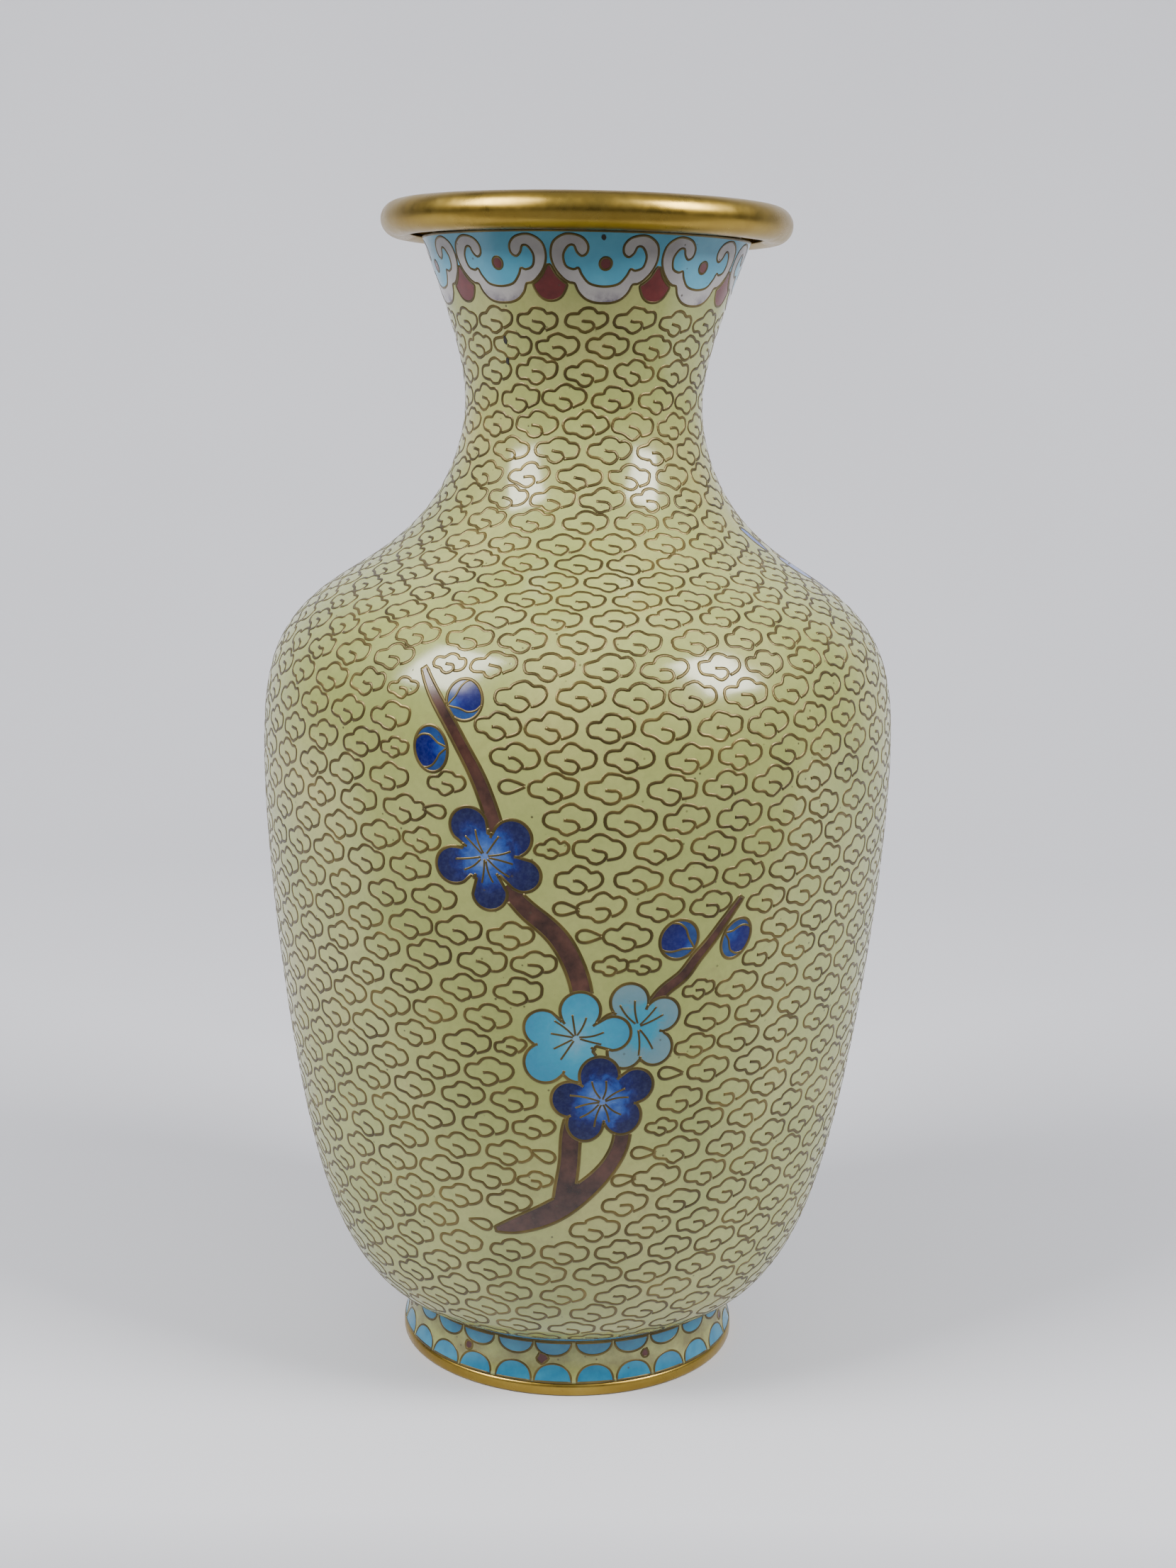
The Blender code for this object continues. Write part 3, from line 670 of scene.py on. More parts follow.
def wires(name, paths, width, look, place=on_body):
    """Flat-topped ribbons along paths of (bearing, height, closed)."""
    section = [(-0.5, WIRE_SUNK), (-0.4, WIRE_PROUD), (0.4, WIRE_PROUD), (0.5, WIRE_SUNK)]
    points, faces = [], []
    total = 0
    for bearing, height, closed in paths:
        count = len(bearing)
        if count < 2:
            continue
        line = place(bearing, height, 0.0)
        normal = place(bearing, height, 1.0) - line
        normal /= np.linalg.norm(normal, axis=1)[:, None]
        if closed:
            along = np.roll(line, -1, axis=0) - np.roll(line, 1, axis=0)
        else:
            along = np.gradient(line, axis=0)
        along /= np.maximum(np.linalg.norm(along, axis=1), 1e-12)[:, None]
        side = np.cross(along, normal)
        corners = [line + MM * (width * x * side + y * normal) for x, y in section]
        points.append(np.stack(corners, axis=1).reshape(-1, 3))
        last = count if closed else count - 1
        here = total + 4 * np.arange(last)
        there = total + 4 * ((np.arange(last) + 1) % count)
        for j in range(3):
            faces.append(np.stack([here + j, here + j + 1, there + j + 1, there + j], axis=1))
        if not closed:
            cap = np.arange(4)
            faces.append(total + np.array([cap[::-1], cap + 4 * count - 4]))
        total += 4 * count
    mesh = new_mesh(name, np.vstack(points).tolist(), np.vstack(faces)[:, ::-1].tolist())
    add_piece(name, mesh, look)


def flat_path(outline, wrap, closed=True):
    bearing, height = unwrapped(outline, wrap)
    return bearing, height, closed


def covered(path, covers):
    """Which points of a flat path lie inside any of the cover outlines."""
    hidden = np.zeros(len(path), bool)
    for cover in covers:
        hidden |= inside(path, cover)
    return hidden


def stretches_outside(path, covers):
    """The parts of a flat path that no cover outline hides, each as an open path. A closed path that
    nothing hides comes back whole."""
    hidden = covered(path, covers)
    if not hidden.any():
        return [(path, True)]
    start = int(np.argmax(hidden))
    path = np.roll(path, -start, axis=0)
    hidden = np.roll(hidden, -start)
    parts, run = [], []
    for point, gone in zip(path, hidden):
        if gone:
            if len(run) > 2:
                parts.append((np.array(run), False))
            run = []
        else:
            run.append(point)
    if len(run) > 2:
        parts.append((np.array(run), False))
    return parts


def flower_outline(flower):
    """The union of the petals and the core, as seen from the centre."""
    angles = np.radians(np.arange(0.0, 360.0, FLOWER_STEP))
    reach = np.full(len(angles), flower["core"])
    for x, y, radius in flower["petals"]:
        distance = math.hypot(x, y)
        off = angles - math.atan2(y, x)
        across = distance * np.sin(off)
        hit = (np.abs(across) < radius) & (np.cos(off) > 0)
        far = distance * np.cos(off) + np.sqrt(np.maximum(radius**2 - across**2, 0.0))
        reach = np.where(hit, np.maximum(reach, far), reach)
    return np.stack([reach * np.cos(angles), reach * np.sin(angles)], axis=1)


def notch_lines(flower):
    """Short doubled wires that run on inwards where two petals meet."""
    outline = flower_outline(flower)
    reach = np.linalg.norm(outline, axis=1)
    all_round = np.linspace(0.0, 360.0, len(reach) + 1)
    lines = []
    directions = sorted(math.atan2(y, x) for x, y, _ in flower["petals"])
    for first, second in zip(directions, directions[1:] + [directions[0] + 2 * math.pi]):
        angles = np.linspace(first, second, 41)
        found = np.interp(np.degrees(angles) % 360.0, all_round, np.append(reach, reach[0]))
        angle = angles[int(np.argmin(found))]
        start = found.min() + 0.35
        end = max(found.min() - 0.55, 1.6)
        middle = 0.5 * (start + end)
        lines.append([(d * math.cos(angle), d * math.sin(angle)) for d in (start, middle, end)])
    return lines


def stamen_lines(flower):
    lines = []
    for angle, length in flower["stamens"]:
        c, s = math.cos(math.radians(angle)), math.sin(math.radians(angle))
        bow = rng.uniform(-0.25, 0.25)
        inner = rng.uniform(0.35, 0.7)
        share = np.linspace(0.0, 1.0, 7)
        out = inner + (length - inner) * share
        side = bow * np.sin(math.pi * share)
        lines.append(np.stack([out * c - side * s, out * s + side * c], axis=1))
    return lines


def bud_outline(wide, tall):
    angles = np.radians(np.arange(0.0, 360.0, 7.5))
    return np.stack([0.5 * wide * np.cos(angles), 0.5 * tall * np.sin(angles)], axis=1)


def bud_point(bud, angle, share):
    """A point in the bud's own frame, at an angle from its base and a share of the way to its outline."""
    wide, tall, turn, base = bud[2:]
    a = math.radians(base + angle - turn)
    reach = 1.0 / math.hypot(math.cos(a) / (0.5 * wide), math.sin(a) / (0.5 * tall))
    return (share * reach * math.cos(a), share * reach * math.sin(a))


def on_bud(shape, bud):
    return drawn_at(shape, bud[0], bud[1], bud[4], BELLY_WRAP)


def bud_sepals(bud):
    return [smooth([bud_point(bud, a, s) for a, s in line], 0.25) for line in (SEPAL_LONG, SEPAL_SHORT)]


def bud_petal(bud):
    long, short = bud_sepals(bud)
    tip = np.linspace(SEPAL_LONG[-1][0], 360.0 + SEPAL_SHORT[-1][0], 14)[1:-1]
    return np.vstack([long, [bud_point(bud, angle, 0.99) for angle in tip], short[::-1]])


def branch_outline(line):
    """The outline of a branch that follows a centre line and changes in width."""
    knots = [(flat(bearing, BELLY_WRAP), height, width) for bearing, height, width in line]
    path = natural_spline(knots, 8 * len(knots))
    middle, half = path[:, :2], 0.5 * path[:, 2:]
    return np.concatenate([beside(middle, -half), beside(middle, half)[::-1]])


def motif_drawings():
    """Every cell of the two sprays, as closed flat outlines at BELLY_WRAP."""
    drawn = {}
    for name, flower in FLOWERS.items():
        drawn[name] = drawn_at(flower_outline(flower), *flower["centre"], 0.0, BELLY_WRAP)
    for name, bud in BUDS.items():
        drawn[name] = on_bud(bud_outline(bud[2], bud[3]), bud)
    for name, line in BRANCHES.items():
        drawn[name] = branch_outline(line)
    return drawn


def on_butterfly(shape):
    return drawn_at(shape, *BUTTERFLY, BUTTERFLY_TURN, SHOULDER_WRAP)


def butterfly_drawings():
    """The butterfly's cells and the petal near it, as closed flat outlines at SHOULDER_WRAP."""
    shapes = {"body": [BUTTERFLY_BODY], "wings": []}
    for side in (1.0, -1.0):
        for wing in (UPPER_WING, LOWER_WING):
            shape = [(side * x, y) for x, y in wing]
            shapes["wings"].append(shape if side > 0 else shape[::-1])
    for kind, group in shapes.items():
        shapes[kind] = [on_butterfly(smooth(shape, 0.5, True)) for shape in group]
    drift = [(flat(b, SHOULDER_WRAP), height) for b, height in reversed(DRIFTING_PETAL)]
    shapes["petal"] = [smooth(drift, 0.5, True)]
    return shapes


def build_motifs(drawn):
    blue = shaded_look("shaded_blue", [
        (0.0, (100, 124, 172)), (0.22, (52, 88, 152)), (0.42, (26, 58, 128)), (0.54, (12, 24, 88)),
        (0.68, (7, 12, 66)), (1.0, (7, 11, 54))])
    turquoise = shaded_look("shaded_turquoise", [
        (0.0, (104, 146, 166)), (0.3, (64, 140, 164)), (0.55, (48, 131, 160)), (1.0, (42, 119, 149))])
    pale = shaded_look("shaded_pale", [
        (0.0, (38, 122, 150)), (0.35, (47, 127, 152)), (0.55, (86, 122, 133)), (1.0, (98, 126, 133))])
    looks = {"flower_turquoise": (turquoise, LIFT_TURQUOISE, "turquoise_enamel"),
             "flower_pale": (pale, LIFT_PALE, "pale_blue_enamel")}
    for name, flower in FLOWERS.items():
        look, lift, slot = looks.get(name, (blue, LIFT_DARK, "dark_blue_enamel"))
        centre = np.array([flat(flower["centre"][0], BELLY_WRAP), flower["centre"][1]])

        def spread(number, made, centre=centre):
            return np.linalg.norm(made - centre, axis=1) / FLOWER_SHADED

        sheets(f"{name}_glaze", [drawn[name]], BELLY_WRAP, lift, 0.5, look, [name], spread)
    brown = plain_look("brown_enamel", (40, 24, 20), (80, 51, 42), 300.0, 0.24)
    names = list(BRANCHES)
    sheets("branches_glaze", [drawn[n] for n in names], BELLY_WRAP, LIFT_BRANCH, 1.0, brown, names)
    sepal = plain_look("sepal_blue", (18, 38, 88), (36, 70, 120), 380.0)
    sheets("bud_sepals_glaze", [drawn[n] for n in BUDS], BELLY_WRAP, LIFT_BUD, 0.7, sepal, list(BUDS))
    petal = shaded_look("bud_petal_blue", [(0.0, (48, 92, 142)), (0.22, (22, 52, 122)),
                                           (0.42, (6, 14, 92)), (1.0, (4, 7, 72))], 0.2)
    petals = [on_bud(bud_petal(bud), bud) for bud in BUDS.values()]
    bases = [on_bud([bud_point(bud, 0.0, 1.0)], bud)[0] for bud in BUDS.values()]

    def from_base(number, made):
        return np.linalg.norm(made - bases[number], axis=1) / BUD_SHADED

    sheets("bud_petals_glaze", petals, BELLY_WRAP, LIFT_BUD + 0.004, 0.5, petal, (),
           from_base)


def build_butterfly(shapes):
    wing = plain_look("wing_blue", (40, 60, 140), (84, 120, 186), 260.0)
    body = plain_look("butterfly_brown", (78, 44, 40), (110, 66, 58), 300.0)
    sheets("butterfly_wings_glaze", shapes["wings"], SHOULDER_WRAP, LIFT_PALE, 0.7, wing,
           ["butterfly_left_wing", "butterfly_right_wing"])
    sheets("butterfly_body_glaze", shapes["body"], SHOULDER_WRAP, LIFT_DARK, 0.7, body,
           ["butterfly_body"])
    sheets("drifting_petal_glaze", shapes["petal"], SHOULDER_WRAP, LIFT_PALE, 0.7, wing, ())


def build_motif_wires(drawn, shapes, look):
    outlines, fine, thick = [], [], []
    for name, outline in drawn.items():
        covers = [drawn[above] for above in UNDER.get(name, [])]
        for part, closed in stretches_outside(outline, covers):
            outlines.append(flat_path(part, BELLY_WRAP, closed))
    for name, flower in FLOWERS.items():
        covers = [drawn[above] for above in UNDER.get(name, [])]
        for lines, group in ((stamen_lines(flower), fine), (notch_lines(flower), thick)):
            for line in lines:
                path = drawn_at(smooth(line, 0.3), *flower["centre"], 0.0, BELLY_WRAP)
                if not covered(path, covers).any():
                    group.append(flat_path(path, BELLY_WRAP, False))
    for name, bud in BUDS.items():
        for line in bud_sepals(bud):
            path = on_bud(line, bud)
            seen = ~inside(path, drawn[UNDER[name][0]])
            fine.append(flat_path(path[seen], BELLY_WRAP, False))
    for group in shapes.values():
        outlines.extend(flat_path(outline, SHOULDER_WRAP) for outline in group)
    for side in (1.0, -1.0):
        for shape in FEELER_AND_VEINS:
            path = on_butterfly(smooth([(side * x, y) for x, y in shape], 0.4))
            fine.append(flat_path(path, SHOULDER_WRAP, False))
    wires("motif_outline_wires", outlines, WIRE_WIDTH, look)
    wires("stamen_and_vein_wires", fine, STAMEN_WIDTH, look)
    wires("notch_wires", thick, NOTCH_WIDTH, look)


def mirrored(half):
    """A closed outline whose half begins and ends on, or next to, its middle line."""
    right = list(half)
    left = [(-b, z) for b, z in reversed(half) if b != 0.0]
    return right + left


def dot_outline(x, height, radius, step, ragged=0.0, tall=1.0):
    """A round flat outline, its edge uneven by a share of the radius."""
    turn = np.radians(np.arange(0.0, 360.0, step))
    reach = radius * np.array([rng.uniform(1.0 - ragged, 1.0 + ragged) if ragged else 1.0 for _ in turn])
    return np.stack([x + reach * np.cos(turn), height + tall * reach * np.sin(turn)], axis=1)


def collar_outline(half, middle):
    """A collar cell's flat outline, with a little unevenness of its own."""
    stretch = rng.uniform(0.97, 1.03)
    flat_half = [(flat(b * stretch, COLLAR_WRAP), z) for b, z in mirrored(half)]
    line = smooth(flat_half, 0.3, True)
    return line + [flat(middle, COLLAR_WRAP), rng.uniform(-0.06, 0.06)]


def build_collar(look_wire):
    blue = plain_look("turquoise_enamel", (64, 142, 174), (82, 158, 188), 130.0, 0.17)
    oxblood = plain_look("oxblood_enamel", (80, 26, 27), (98, 35, 35), 420.0, 0.18)
    middles = [FIRST_HEAD + HEAD_PITCH * n for n in range(HEADS)]
    heads = [collar_outline(HEAD_BAND_HALF, middle) for middle in middles]
    drops = [collar_outline(DROP_HALF, middle + 0.5 * HEAD_PITCH) for middle in middles]
    height, radius = HEAD_DOT
    dots = [dot_outline(flat(m + 0.2, COLLAR_WRAP), height, radius, 20.0) for m in middles]
    build_collar_field(blue)
    sheets("cloud_heads_glaze", heads, COLLAR_WRAP, LIFT_TURQUOISE, 0.6, white_look(),
           [f"cloud_head_{n}" for n in range(1, HEADS + 1)])
    sheets("collar_drops_glaze", drops, COLLAR_WRAP, LIFT_TURQUOISE, 0.6, oxblood,
           [f"collar_drop_{n}" for n in range(1, HEADS + 1)])
    sheets("collar_dots_glaze", dots, COLLAR_WRAP, LIFT_DARK, 0.6, oxblood, ())
    paths = [flat_path(outline, COLLAR_WRAP) for outline in heads + drops + dots]
    turnings = np.arange(0.0, 360.0, 1.5)
    paths.append((turnings, np.full(len(turnings), COLLAR_TOP - 0.1), True))
    wires("collar_wires", paths, COLLAR_WIRE_WIDTH, look_wire)


def build_collar_field(look):
    """The turquoise round and inside the heads: a belt whose lower edge is hidden by heads and drops."""
    half = np.array(FIELD_LOWER_HALF)
    bearings = np.arange(0.0, 360.0, 1.0)
    off = np.abs((bearings - FIRST_HEAD + 0.5 * HEAD_PITCH) % HEAD_PITCH - 0.5 * HEAD_PITCH)
    lower = np.interp(off, half[:, 0], half[:, 1])
    shares = np.linspace(0.0, 1.0, 17)
    rings = [on_body(bearings, lower + (COLLAR_TOP - lower) * share, LIFT_BRANCH) for share in shares]
    belt("collar_field_glaze", rings, look, ["collar_field"], SHEET)


def scallop_outline(middle, base, rise):
    """Half an ellipse on a base line, a little uneven; a negative rise hangs from it."""
    middle += rng.uniform(-0.4, 0.4)
    rise *= rng.uniform(0.94, 1.06)
    half = 0.5 * SCALLOP_WIDTH * flat(360.0 / SCALLOPS, FOOT_WRAP)
    angles = np.radians(np.arange(0.0, 181.0, 10.0))
    x = flat(middle, FOOT_WRAP) + half * np.cos(angles)
    arch = np.stack([x, base + rise * np.sin(angles) ** 0.85], axis=1)
    level = np.linspace(arch[-1], arch[0], 9)[1:-1]
    line = np.vstack([arch, level])
    return line if rise > 0 else line[::-1]


def build_foot(ground, look_wire):
    blue = plain_look("foot_turquoise", (28, 96, 130), (44, 118, 148), 260.0, 0.18)
    oxblood = plain_look("foot_oxblood", (52, 14, 14), (70, 22, 20), 420.0, 0.2)
    heights = np.linspace(FOOT_BAND_HEIGHT + 0.1, FOOT_TOP + 0.45, 16)
    outer = [(foot_radius(min(z, FOOT_TOP)), z) for z in heights[::-1]]
    inner = [(foot_radius(min(z, FOOT_TOP)) - GLAZE_DEPTH, z) for z in heights]
    lathe("foot_ground_glaze", outer + inner, 208, ground, ["foot_ground_enamel"])
    pitch = 360.0 / SCALLOPS
    middles = [SCALLOP_PHASE + pitch * (n + 0.5) for n in range(SCALLOPS)]
    hanging = [scallop_outline(middle, HANGING_TOP, -HANGING_DEPTH) for middle in middles]
    standing = [scallop_outline(middle, STANDING_BASE, STANDING_RISE) for middle in middles]
    sheets("foot_scallops_glaze", hanging + standing, FOOT_WRAP, LIFT_PALE, 0.7, blue,
           ["foot_scallops_upper", "foot_scallops_lower"], place=on_foot)
    dots = [dot_outline(flat(b, FOOT_WRAP), z, radius, 30.0, 0.15) for b, z, radius in FOOT_DOTS]
    sheets("foot_dots_glaze", dots, FOOT_WRAP, LIFT_TURQUOISE, 0.5, oxblood, (),
           place=on_foot)
    bearings = np.arange(0.0, 360.0, 1.5)
    rings = [on_foot(bearings, np.full(len(bearings), z), 0.03) for z in (FOOT_TOP - 0.1, FOOT_TOP + 0.4)]
    belt("foot_top_strip", rings, blue, (), 0.2)
    paths = [flat_path(outline, FOOT_WRAP) for outline in hanging + standing + dots]
    turnings = np.arange(0.0, 360.0, 2.0)
    paths.append((turnings, np.full(len(turnings), FOOT_TOP - 0.05), True))
    wires("foot_wires", paths, COLLAR_WIRE_WIDTH, look_wire, on_foot)


def build_metal():
    brass = brass_look()
    centre = np.array([RIM_CIRCLE_RADIUS, HEIGHT - RIM_TUBE_RADIUS])
    mouth = natural_spline([(23.4, COLLAR_TOP + 0.7), (25.2, 187.3), (27.4, 189.2), (29.0, 189.86)], 14)
    angles = np.radians(np.arange(90.0, -136.0, -6.0))
    roll = [centre + RIM_TUBE_RADIUS * np.array([math.cos(a), math.sin(a)]) for a in angles]
    skin = np.vstack([mouth, roll])
    loop = np.vstack([skin, beside(skin, -LIP_SHEET)[::-1]])
    lathe("rim_lip", loop, 240, brass, ["rim_ring"])
    inner = FOOT_RADIUS - COPPER_DEPTH
    outline = [(FOOT_RADIUS - 0.35, FOOT_BAND_HEIGHT), (FOOT_RADIUS - 0.1, FOOT_BAND_HEIGHT - 0.2),
               (FOOT_RADIUS, FOOT_BAND_HEIGHT - 0.6), (FOOT_RADIUS, 0.5), (FOOT_RADIUS - 0.12, 0.15),
               (FOOT_RADIUS - 0.4, 0.0), (inner + 0.4, 0.0), (inner + 0.1, 0.12), (inner, 0.4),
               (inner, FOOT_BAND_HEIGHT)]
    lathe("foot_rim_band", outline, 240, brass, ["foot_band"])


def build_shells(ground):
    """The ground glaze, the lining and the glaze under the foot. BODY runs upwards, so its left is inward."""
    outer = BODY[::6]
    loop = np.vstack([outer[::-1], beside(outer, GLAZE_DEPTH)])
    lathe("ground_glaze", loop, 240, ground, ["ground_enamel", "ground_fork_cell"])
    path = BODY[::20]
    side = beside(path, LINING[0])
    wall = beside(path, LINING[1])
    floor = FOOT_TOP + 2 * JOINT_GAP + 1.0
    corner = side[0, 0] - 0.3
    outside = [*side[::-1], (corner, floor), (0.01, floor)]
    within = [(0.01, floor + 0.6), (corner - 1.0, floor + 0.6), *wall]
    lining = lining_look()
    lathe("lining_glaze", outside + within, 128, lining, ["interior_enamel"])
    radius = FOOT_WAIST_RADIUS - COPPER_DEPTH - JOINT_GAP
    under = FOOT_TOP - JOINT_GAP
    lower = under - 0.6
    disc = [(0.01, under), (radius, under), (radius, lower + 0.1), (radius - 0.4, lower), (0.01, lower)]
    lathe("base_glaze", disc, 128, lining, ["base_enamel"])


def motif_tree(drawn, shapes):
    """Points on and inside every motif, for keeping clouds clear of them."""
    places = []
    for wrap, outlines in ((BELLY_WRAP, list(drawn.values())),
                           (SHOULDER_WRAP, [o for group in shapes.values() for o in group])):
        for outline in outlines:
            low, high = outline.min(axis=0), outline.max(axis=0)
            grid = grid_over(low, high, 0.5)
            grid = grid[inside(grid, outline)]
            closing = np.vstack([outline, outline[:1]])
            line = np.vstack([closing[:-1] + (closing[1:] - closing[:-1]) * share for share in (0.0, 0.5)])
            for group in (line, grid):
                if len(group):
                    places.append(on_body(*unwrapped(group, wrap), 0.0))
    places = np.vstack(places) / MM
    tree = kdtree.KDTree(len(places))
    for number, point in enumerate(places):
        tree.insert(point, number)
    tree.balance()
    return tree


def cloud_line(shape, bearing, arc, size, tilt):
    """A wire drawing laid on the body with its true size, as bearings and heights."""
    c, s = math.cos(tilt), math.sin(tilt)
    x = size * (shape[:, 0] * c - shape[:, 1] * s)
    y = size * (shape[:, 0] * s + shape[:, 1] * c)
    height = height_at(arc + y)
    return bearing + np.degrees(x / radius_at(height)), height


def cloud_rows():
    """(arc, spacing, size) of each row, from under the collar to the foot."""
    rows = []
    arc = arc_at(TOP_ROW)
    while arc > arc_at(BOTTOM_ROW):
        share = float(np.clip((height_at(arc) - SHRINK_FROM) / (SHRINK_TO - SHRINK_FROM), 0.0, 1.0))
        spacing = CLOUD_SPACING[0] + (CLOUD_SPACING[1] - CLOUD_SPACING[0]) * share
        size = CLOUD_SIZE[0] + (CLOUD_SIZE[1] - CLOUD_SIZE[0]) * share
        rows.append((arc, spacing, size))
        arc -= ROW_PITCH[0] + (ROW_PITCH[1] - ROW_PITCH[0]) * share
    return rows


def clearance(tree, bearing, height):
    """The distance from each point of a line to the nearest motif."""
    return np.array([tree.find(p)[2] for p in on_body(bearing, height, 0.0) / MM])


def fitted_cloud(tree, cloud, drop, bearing, arc, size, tilt):
    """A cloud, or near a motif whatever fits: a shifted or smaller cloud, else a teardrop or nothing."""
    radius = float(radius_at(height_at(arc)))
    for shift, scale in CLOUD_TRIES:
        line = cloud_line(cloud, bearing + math.degrees(shift / radius), arc, size * scale, tilt)
        if clearance(tree, *line).min() > CLEARANCE:
            return [line]
    for shift in TEARDROP_TRIES:
        shape = drop * [1.0 if shift > 0 else -1.0, 1.0]
        line = cloud_line(shape, bearing + math.degrees(shift / radius), arc, size, tilt * 3)
        if clearance(tree, *line).min() > CLEARANCE:
            return [line]
    return []


def build_clouds(tree, look):
    drop = smooth(TEARDROP, WIRE_STEP)
    bands = {name: [] for name in CLOUD_BANDS}
    for number, (arc, spacing, size) in enumerate(cloud_rows()):
        height = float(height_at(arc))
        band = bands[next(name for name, limit in CLOUD_BANDS.items() if height < limit)]
        count = int(round(2 * math.pi * float(radius_at(height)) / spacing))
        pitch = 360.0 / count
        phase = 0.5 * pitch * (number % 2) + rng.uniform(-0.12, 0.12) * pitch
        for slot in range(count):
            bearing = phase + pitch * slot + rng.uniform(-0.03, 0.03) * pitch
            own_arc = arc + rng.uniform(-0.18, 0.18)
            own_size = size * rng.uniform(0.95, 1.04)
            tilt = rng.gauss(0.0, 0.05)
            wobble = np.array([[rng.gauss(0.0, 0.06), rng.gauss(0.0, 0.06)] for _ in CLOUD])
            shape = smooth(np.array(CLOUD) + wobble, WIRE_STEP)
            centre = on_body(bearing, height_at(own_arc), 0.0) / MM
            if tree.find(centre)[2] > CLOUD_HALF_WIDTH + 1.0:
                lines = [cloud_line(shape, bearing, own_arc, own_size, tilt)]
            else:
                lines = fitted_cloud(tree, shape, drop, bearing, own_arc, own_size, tilt)
            band.extend((*line, False) for line in lines)
    for name, paths in bands.items():
        wires(f"cloud_wires_{name}", paths, WIRE_WIDTH, look)


def build_pits():
    outlines = [dot_outline(flat(b, COLLAR_WRAP), z, radius, 36.0, 0.25, 1.5) for b, z, radius in PITS]
    sheets("glaze_pits", outlines, COLLAR_WRAP, 0.1, 0.4, pit_look(), ())


def build_stage():
    """A pale floor that sweeps up behind the vase, and carries a painted shade in front of it, dark like the
    room there.
    """
    turn = [math.radians(a) for a in range(0, 91, 6)]
    sweep = [(COVE_FROM + COVE_RADIUS * math.sin(a), COVE_RADIUS * (1.0 - math.cos(a))) for a in turn]
    line = [(FLOOR_FRONT, 0.0), *sweep, (COVE_FROM + COVE_RADIUS, COVE_TOP)]
    points = [(x, y, z) for x in (-STAGE_HALF_WIDTH, STAGE_HALF_WIDTH) for y, z in line]
    count = len(line)
    mesh = new_mesh("floor", points, [(i, i + 1, count + i + 1, count + i) for i in range(count - 1)])
    mesh.shade_smooth()
    floor = bpy.data.objects.new("floor", mesh)
    bpy.context.scene.collection.objects.link(floor)
    cloth = Look("pale_floor", 0.9)
    tone = cloth.ramp(cloth.noise(3.0), [(0.3, (190, 191, 198)), (0.7, (197, 198, 205))])
    unshaded_share = cloth.between(cloth.along("Y"), FLOOR_SHADE_FADE_FROM, FLOOR_SHADE_FADE_TO)
    # Painted shade: the floor in front of the vase is dark grey, standing for the dim room there.
    cloth.colour(cloth.mix(unshaded_share, (112, 112, 114), tone))
    mesh.materials.append(cloth.material)
    floor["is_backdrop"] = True


def add_window(name, azimuth, elevation, wide, tall, power):
    """A soft light like a window a metre away, aimed at the shoulder."""
    lamp = bpy.data.lights.new(name, "AREA")
    lamp.shape = "RECTANGLE"
    lamp.size = wide
    lamp.size_y = tall
    lamp.energy = power
    lamp.color = (1.0, 0.98, 0.95)
    item = bpy.data.objects.new(name, lamp)
    a, e = math.radians(azimuth), math.radians(elevation)
    away = Vector((math.sin(a) * math.cos(e), -math.cos(a) * math.cos(e), math.sin(e)))
    item.location = Vector((0.0, 0.0, 0.12)) + away
    item.rotation_euler = away.to_track_quat("Z", "Y").to_euler()
    bpy.context.scene.collection.objects.link(item)


def build_lights():
    """Two windows in front, and a room that is bright overhead and dim low down."""
    add_window("window_left", -58.0, 41.0, 0.42, 0.52, 17.5)
    add_window("window_right", 61.0, 39.0, 0.37, 0.48, 16.5)
    world = bpy.data.worlds.new("soft_room")
    world.use_nodes = True
    room = Nodes(world.node_tree)
    way = room.add("SeparateXYZ", Vector=room.add("TexCoord").outputs["Generated"])
    fade = room.add("MapRange", Value=way.outputs["Z"], From_Min=-0.2, From_Max=0.8)
    fade.interpolation_type = "SMOOTHSTEP"
    fade.inputs["To Min"].default_value = ROOM_LOW
    fade.inputs["To Max"].default_value = ROOM_HIGH
    background = room.tree.nodes["Background"]
    background.inputs["Color"].default_value = (0.9, 0.94, 1.0, 1.0)
    room.join(fade.outputs["Result"], background.inputs["Strength"])
    bpy.context.scene.world = world


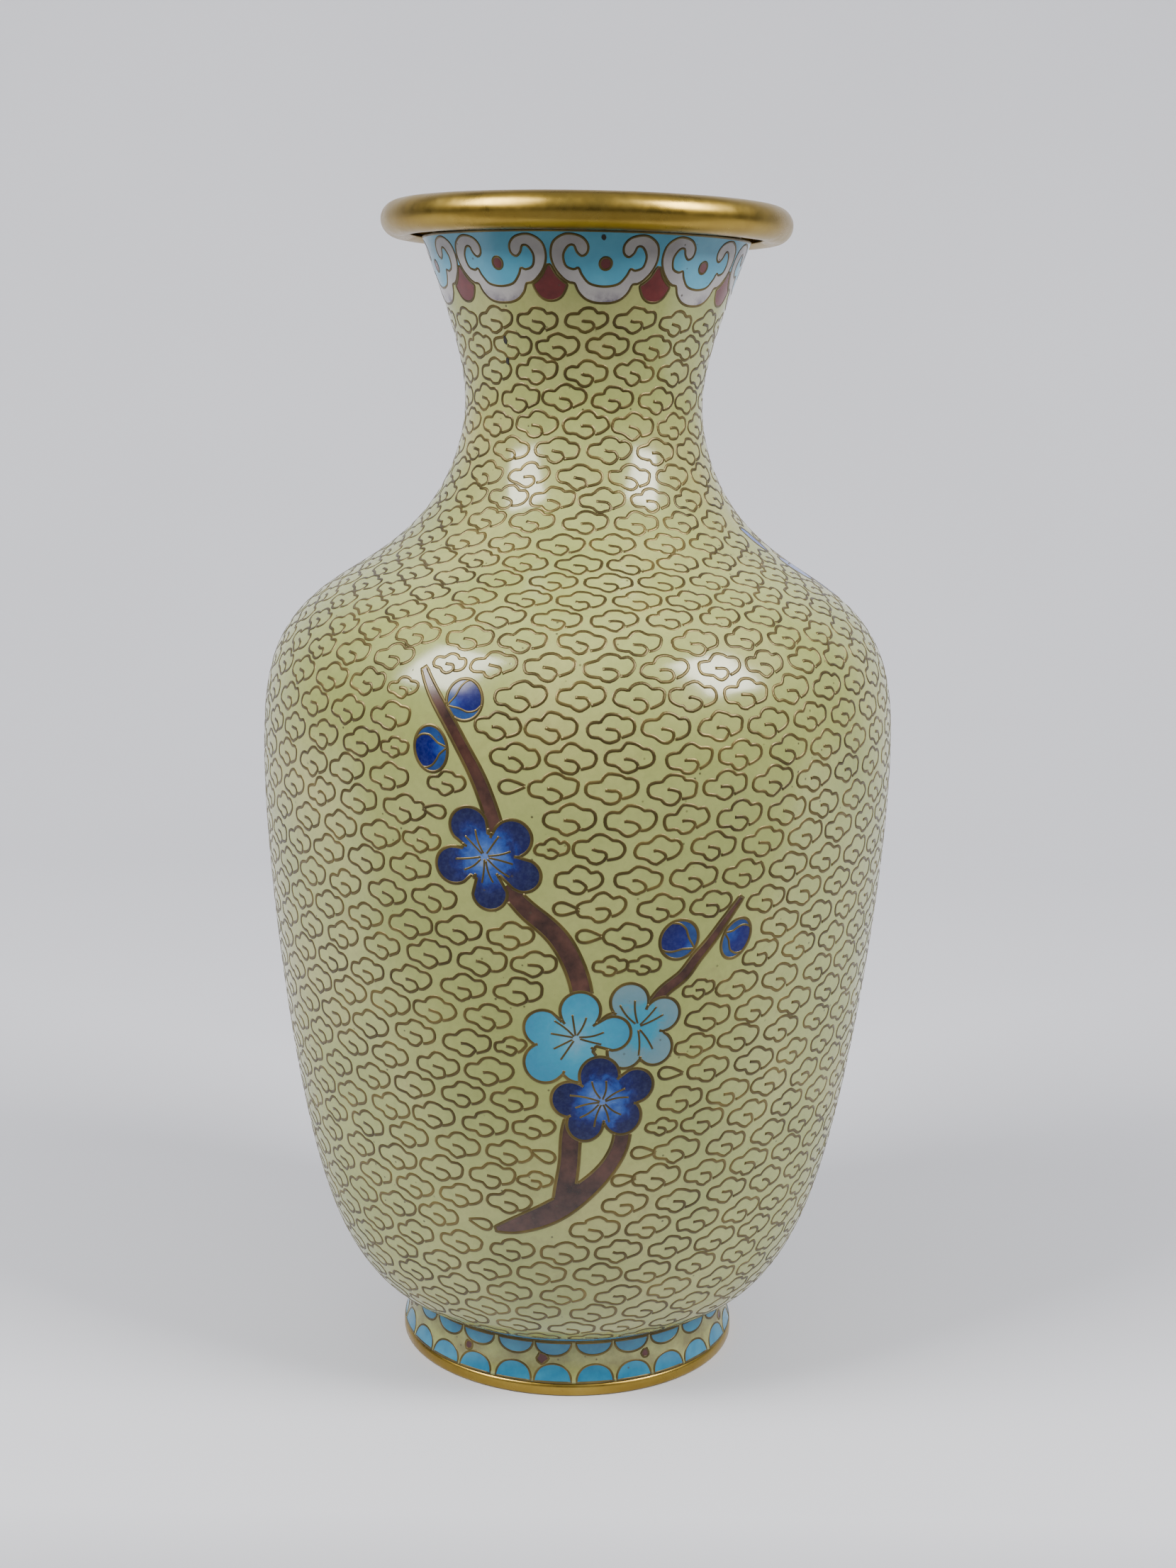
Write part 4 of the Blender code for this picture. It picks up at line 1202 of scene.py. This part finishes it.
def build_camera():
    lens = bpy.data.cameras.new("camera")
    lens.sensor_fit = "VERTICAL"
    lens.sensor_height = SENSOR
    lens.lens = LENS
    lens.clip_start = 0.01
    item = bpy.data.objects.new("camera", lens)
    place = Matrix.Translation((0.0, -CAMERA_DISTANCE * MM, CAMERA_HEIGHT * MM))
    yaw = Matrix.Rotation(-CAMERA_YAW, 4, "Z")
    pitch = Matrix.Rotation(0.5 * math.pi - CAMERA_PITCH, 4, "X")
    item.matrix_world = place @ yaw @ pitch @ Matrix.Rotation(CAMERA_ROLL, 4, "Z")
    bpy.context.scene.collection.objects.link(item)
    bpy.context.scene.camera = item


def write_sizes():
    """The box round every shown piece; it is worked out and then left unused."""
    bpy.context.view_layer.update()
    seen = bpy.context.evaluated_depsgraph_get()
    low, high = np.full(3, np.inf), np.full(3, -np.inf)
    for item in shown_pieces():
        mesh = item.evaluated_get(seen).to_mesh()
        points = np.empty(3 * len(mesh.vertices))
        mesh.vertices.foreach_get("co", points)
        points = points.reshape(-1, 3)
        low, high = np.minimum(low, points.min(axis=0)), np.maximum(high, points.max(axis=0))


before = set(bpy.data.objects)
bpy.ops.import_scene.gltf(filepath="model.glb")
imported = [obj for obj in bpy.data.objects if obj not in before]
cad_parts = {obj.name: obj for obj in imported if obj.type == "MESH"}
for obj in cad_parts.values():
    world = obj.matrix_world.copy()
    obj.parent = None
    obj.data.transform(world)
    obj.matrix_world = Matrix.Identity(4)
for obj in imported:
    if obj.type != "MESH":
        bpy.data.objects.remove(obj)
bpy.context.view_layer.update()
copper = copper_look()
for node in ("belly_shell", "neck_shell", "foot_skirt", "base_plate"):
    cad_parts[node].data.materials.clear()
    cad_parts[node].data.materials.append(copper)

wire = wire_look()
ground_enamel = ground_look()
build_shells(ground_enamel)
build_metal()
motifs = motif_drawings()
wings = butterfly_drawings()
build_motifs(motifs)
build_butterfly(wings)
build_motif_wires(motifs, wings, wire)
build_collar(wire)
build_foot(ground_enamel, wire)
build_clouds(motif_tree(motifs, wings), wire)
build_pits()
build_stage()
build_lights()
build_camera()
write_sizes()
